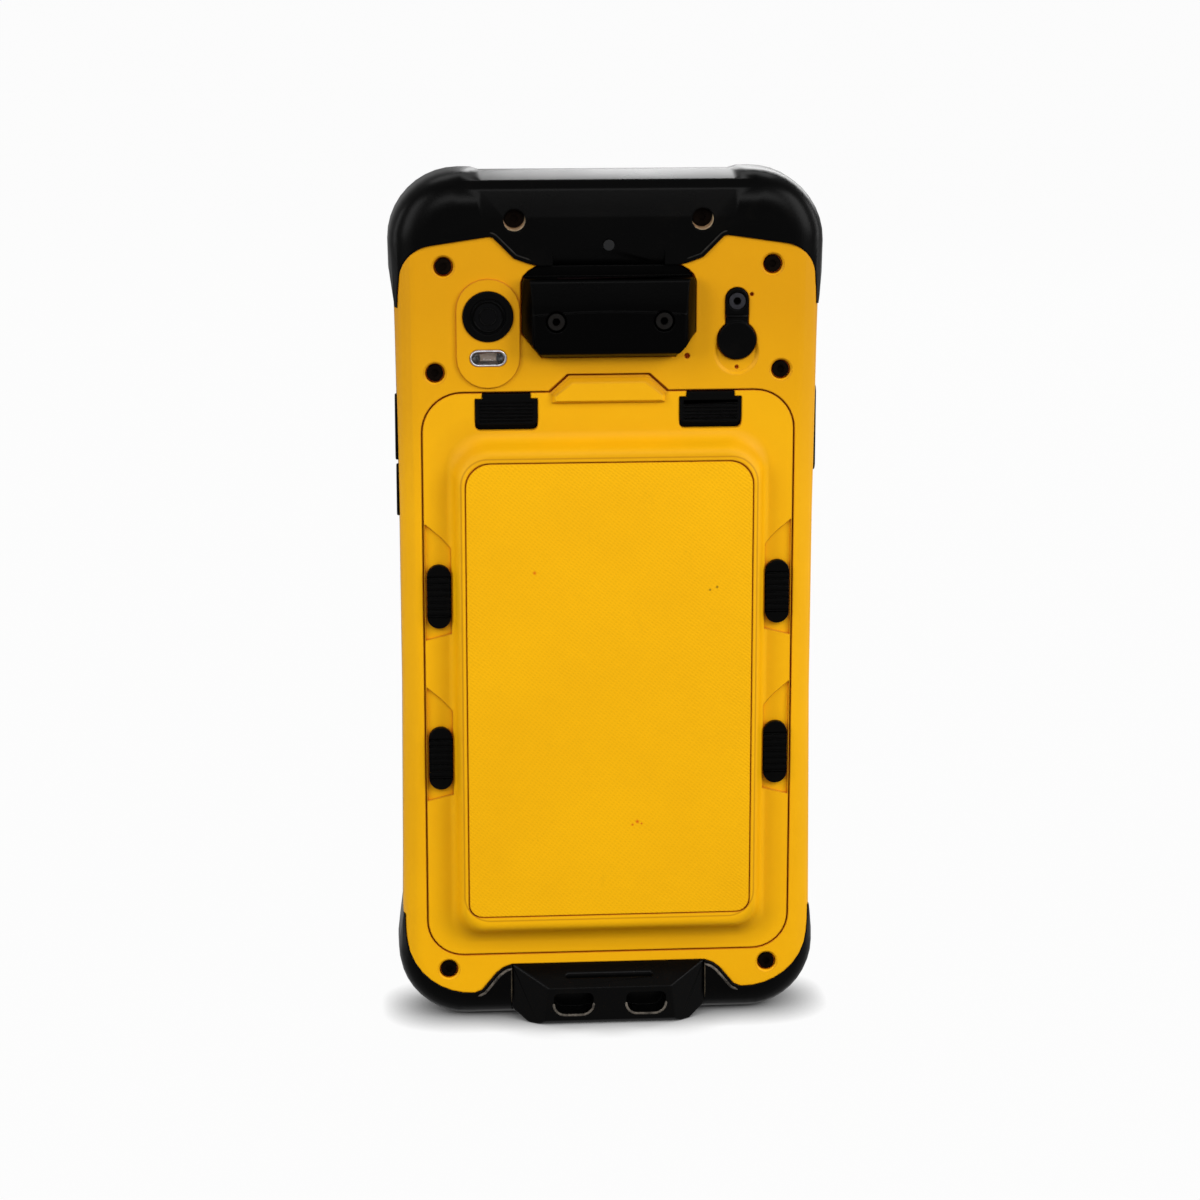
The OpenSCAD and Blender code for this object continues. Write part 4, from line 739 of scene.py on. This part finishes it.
def plug_hinge():
    """The thin rubber bridge between the plug and its strap, on the hinge line."""
    bm = bmesh.new()
    half = STRAP_W / 2
    ends = ((0.05 - half, 0.15), (0.2 - half, 0.28), (half - 0.2, 0.28), (half - 0.05, 0.15))
    rings(bm, [[(PLUG_X + x, BACK_Y - 0.2 + r * math.cos(a), PLUG_HINGE_Z + r * math.sin(a))
                for a in turn(12)] for x, r in ends])
    piece("plug_hinge", bm, "rubber")


def latch_springs():
    """The two leaf springs, copied from their CAD nodes to ride on the battery pack, each with a mesh of its
    own.
    """
    for side in ("left", "right"):
        node = nodes["latch_spring_" + side]
        spring = bpy.data.objects.new("leaf_spring_" + side, node.data.copy())
        bpy.context.scene.collection.objects.link(spring)
        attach(spring, "battery_pack")
        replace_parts(spring, "latch_spring_" + side)
        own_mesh(spring)


flash()
camera_rings()
lips()
plug_hinge()
latch_springs()

# ---- stage ------------------------------------------------------------------------------

# How bright the floor looks to the camera and in reflections, and how bright the world is there
FLOOR_GLOW, FLOOR_SHINE, WORLD_LIGHT, WORLD_SHINE = 0.97, 0.35, 0.15, 0.4


def stage_material(name, colour):
    """Matt floor that looks near white to the camera, dimmer in reflections, and keeps its shadow, with a
    painted contact shadow near the object.
    """
    mat = bpy.data.materials.new(name)
    mat.use_nodes = True
    t = mat.node_tree
    t.nodes.clear()
    out = t.nodes.new("ShaderNodeOutputMaterial")
    diffuse = t.nodes.new("ShaderNodeBsdfDiffuse")
    diffuse.inputs["Color"].default_value = colour
    light = t.nodes.new("ShaderNodeEmission")
    light.inputs["Strength"].default_value = 1.0
    # Painted contact shadow: ambient occlusion near the object darkens the glow that the camera sees
    near = t.nodes.new("ShaderNodeAmbientOcclusion")
    near.samples = 12
    near.inputs["Distance"].default_value = 0.008
    path = t.nodes.new("ShaderNodeLightPath").outputs
    contact = math_node(t, "POWER", near.outputs["AO"], 1.7)
    shade = math_node(t, "MULTIPLY", math_node(t, "MULTIPLY", path["Is Camera Ray"], FLOOR_GLOW), contact)
    mirrored = math_node(t, "MAXIMUM", math_node(t, "MULTIPLY", path["Is Glossy Ray"], FLOOR_SHINE),
                         math_node(t, "MULTIPLY", path["Is Transmission Ray"], FLOOR_GLOW))
    mix = t.nodes.new("ShaderNodeMixShader")
    t.links.new(math_node(t, "MAXIMUM", shade, mirrored), mix.inputs[0])
    t.links.new(diffuse.outputs[0], mix.inputs[1])
    t.links.new(light.outputs[0], mix.inputs[2])
    t.links.new(mix.outputs[0], out.inputs["Surface"])
    return mat


def make_stage():
    """Floor that sweeps up into a backdrop behind the object."""
    half, front, back_edge, sweep, top = 3.5, -2.5, 1.6, 0.8, 3.0
    under = 0.00005
    profile = [(front, 0), (back_edge, 0)]
    profile += [(back_edge + sweep * math.sin(a), sweep - sweep * math.cos(a))
                for a in (math.radians(10 * i) for i in range(1, 10))]
    profile += [(back_edge + sweep, top)]
    bm = bmesh.new()
    rows = [[bm.verts.new((x, y, z - under)) for x in (-half, half)] for y, z in profile]
    for a, b in zip(rows, rows[1:]):
        bm.faces.new((a[0], a[1], b[1], b[0])).smooth = True
    mesh = bpy.data.meshes.new("stage_floor")
    bm.to_mesh(mesh)
    bm.free()
    floor = bpy.data.objects.new("stage_floor", mesh)
    bpy.context.scene.collection.objects.link(floor)
    mesh.materials.append(stage_material("stage_white", srgb("808080")))


def make_world():
    """Weak even light, white to the camera and through clear plastic, and half bright in reflections."""
    w = bpy.data.worlds.new("studio")
    bpy.context.scene.world = w
    w.use_nodes = True
    t = w.node_tree
    dim = t.nodes["Background"]
    white = t.nodes.new("ShaderNodeBackground")
    for node, strength in ((dim, WORLD_LIGHT), (white, 1.0)):
        node.inputs["Color"].default_value = (1, 1, 1, 1)
        node.inputs["Strength"].default_value = strength
    path = t.nodes.new("ShaderNodeLightPath").outputs
    seen = math_node(t, "MAXIMUM", path["Is Camera Ray"], path["Is Transmission Ray"])
    mix = t.nodes.new("ShaderNodeMixShader")
    t.links.new(math_node(t, "MULTIPLY_ADD", path["Is Glossy Ray"], WORLD_SHINE, seen), mix.inputs[0])
    t.links.new(dim.outputs[0], mix.inputs[1])
    t.links.new(white.outputs[0], mix.inputs[2])
    t.links.new(mix.outputs[0], t.nodes["World Output"].inputs["Surface"])


def area(name, place, size, power, target=(0, 0, 0.08)):
    """Soft lamp of a width and height in metres, aimed at the target."""
    data = bpy.data.lights.new(name, "AREA")
    data.shape = "RECTANGLE"
    data.size, data.size_y = size
    data.energy = power
    lamp = bpy.data.objects.new(name, data)
    bpy.context.scene.collection.objects.link(lamp)
    lamp.location = place
    lamp.rotation_mode = "QUATERNION"
    lamp.rotation_quaternion = (Vector(target) - Vector(place)).to_track_quat("-Z", "Y")


make_stage()
make_world()
area("side_left", (-0.95, -0.62, 0.60), (0.5, 0.9), 8.2)
area("side_right", (0.95, -0.62, 0.60), (0.5, 0.9), 10.3)
area("front", (0.1, -0.95, 0.66), (1.0, 0.3), 5.0)
area("edge_left", (-1.1, 0.35, 0.35), (0.3, 0.7), 2.0)
area("edge_right", (1.1, 0.35, 0.35), (0.3, 0.7), 2.6)
area("screen_fill", (0.45, 1.1, 0.5), (0.9, 0.4), 5.0)
area("rim", (0.0, 0.55, 1.15), (1.0, 0.5), 4.0, target=(0, 0, 0.12))
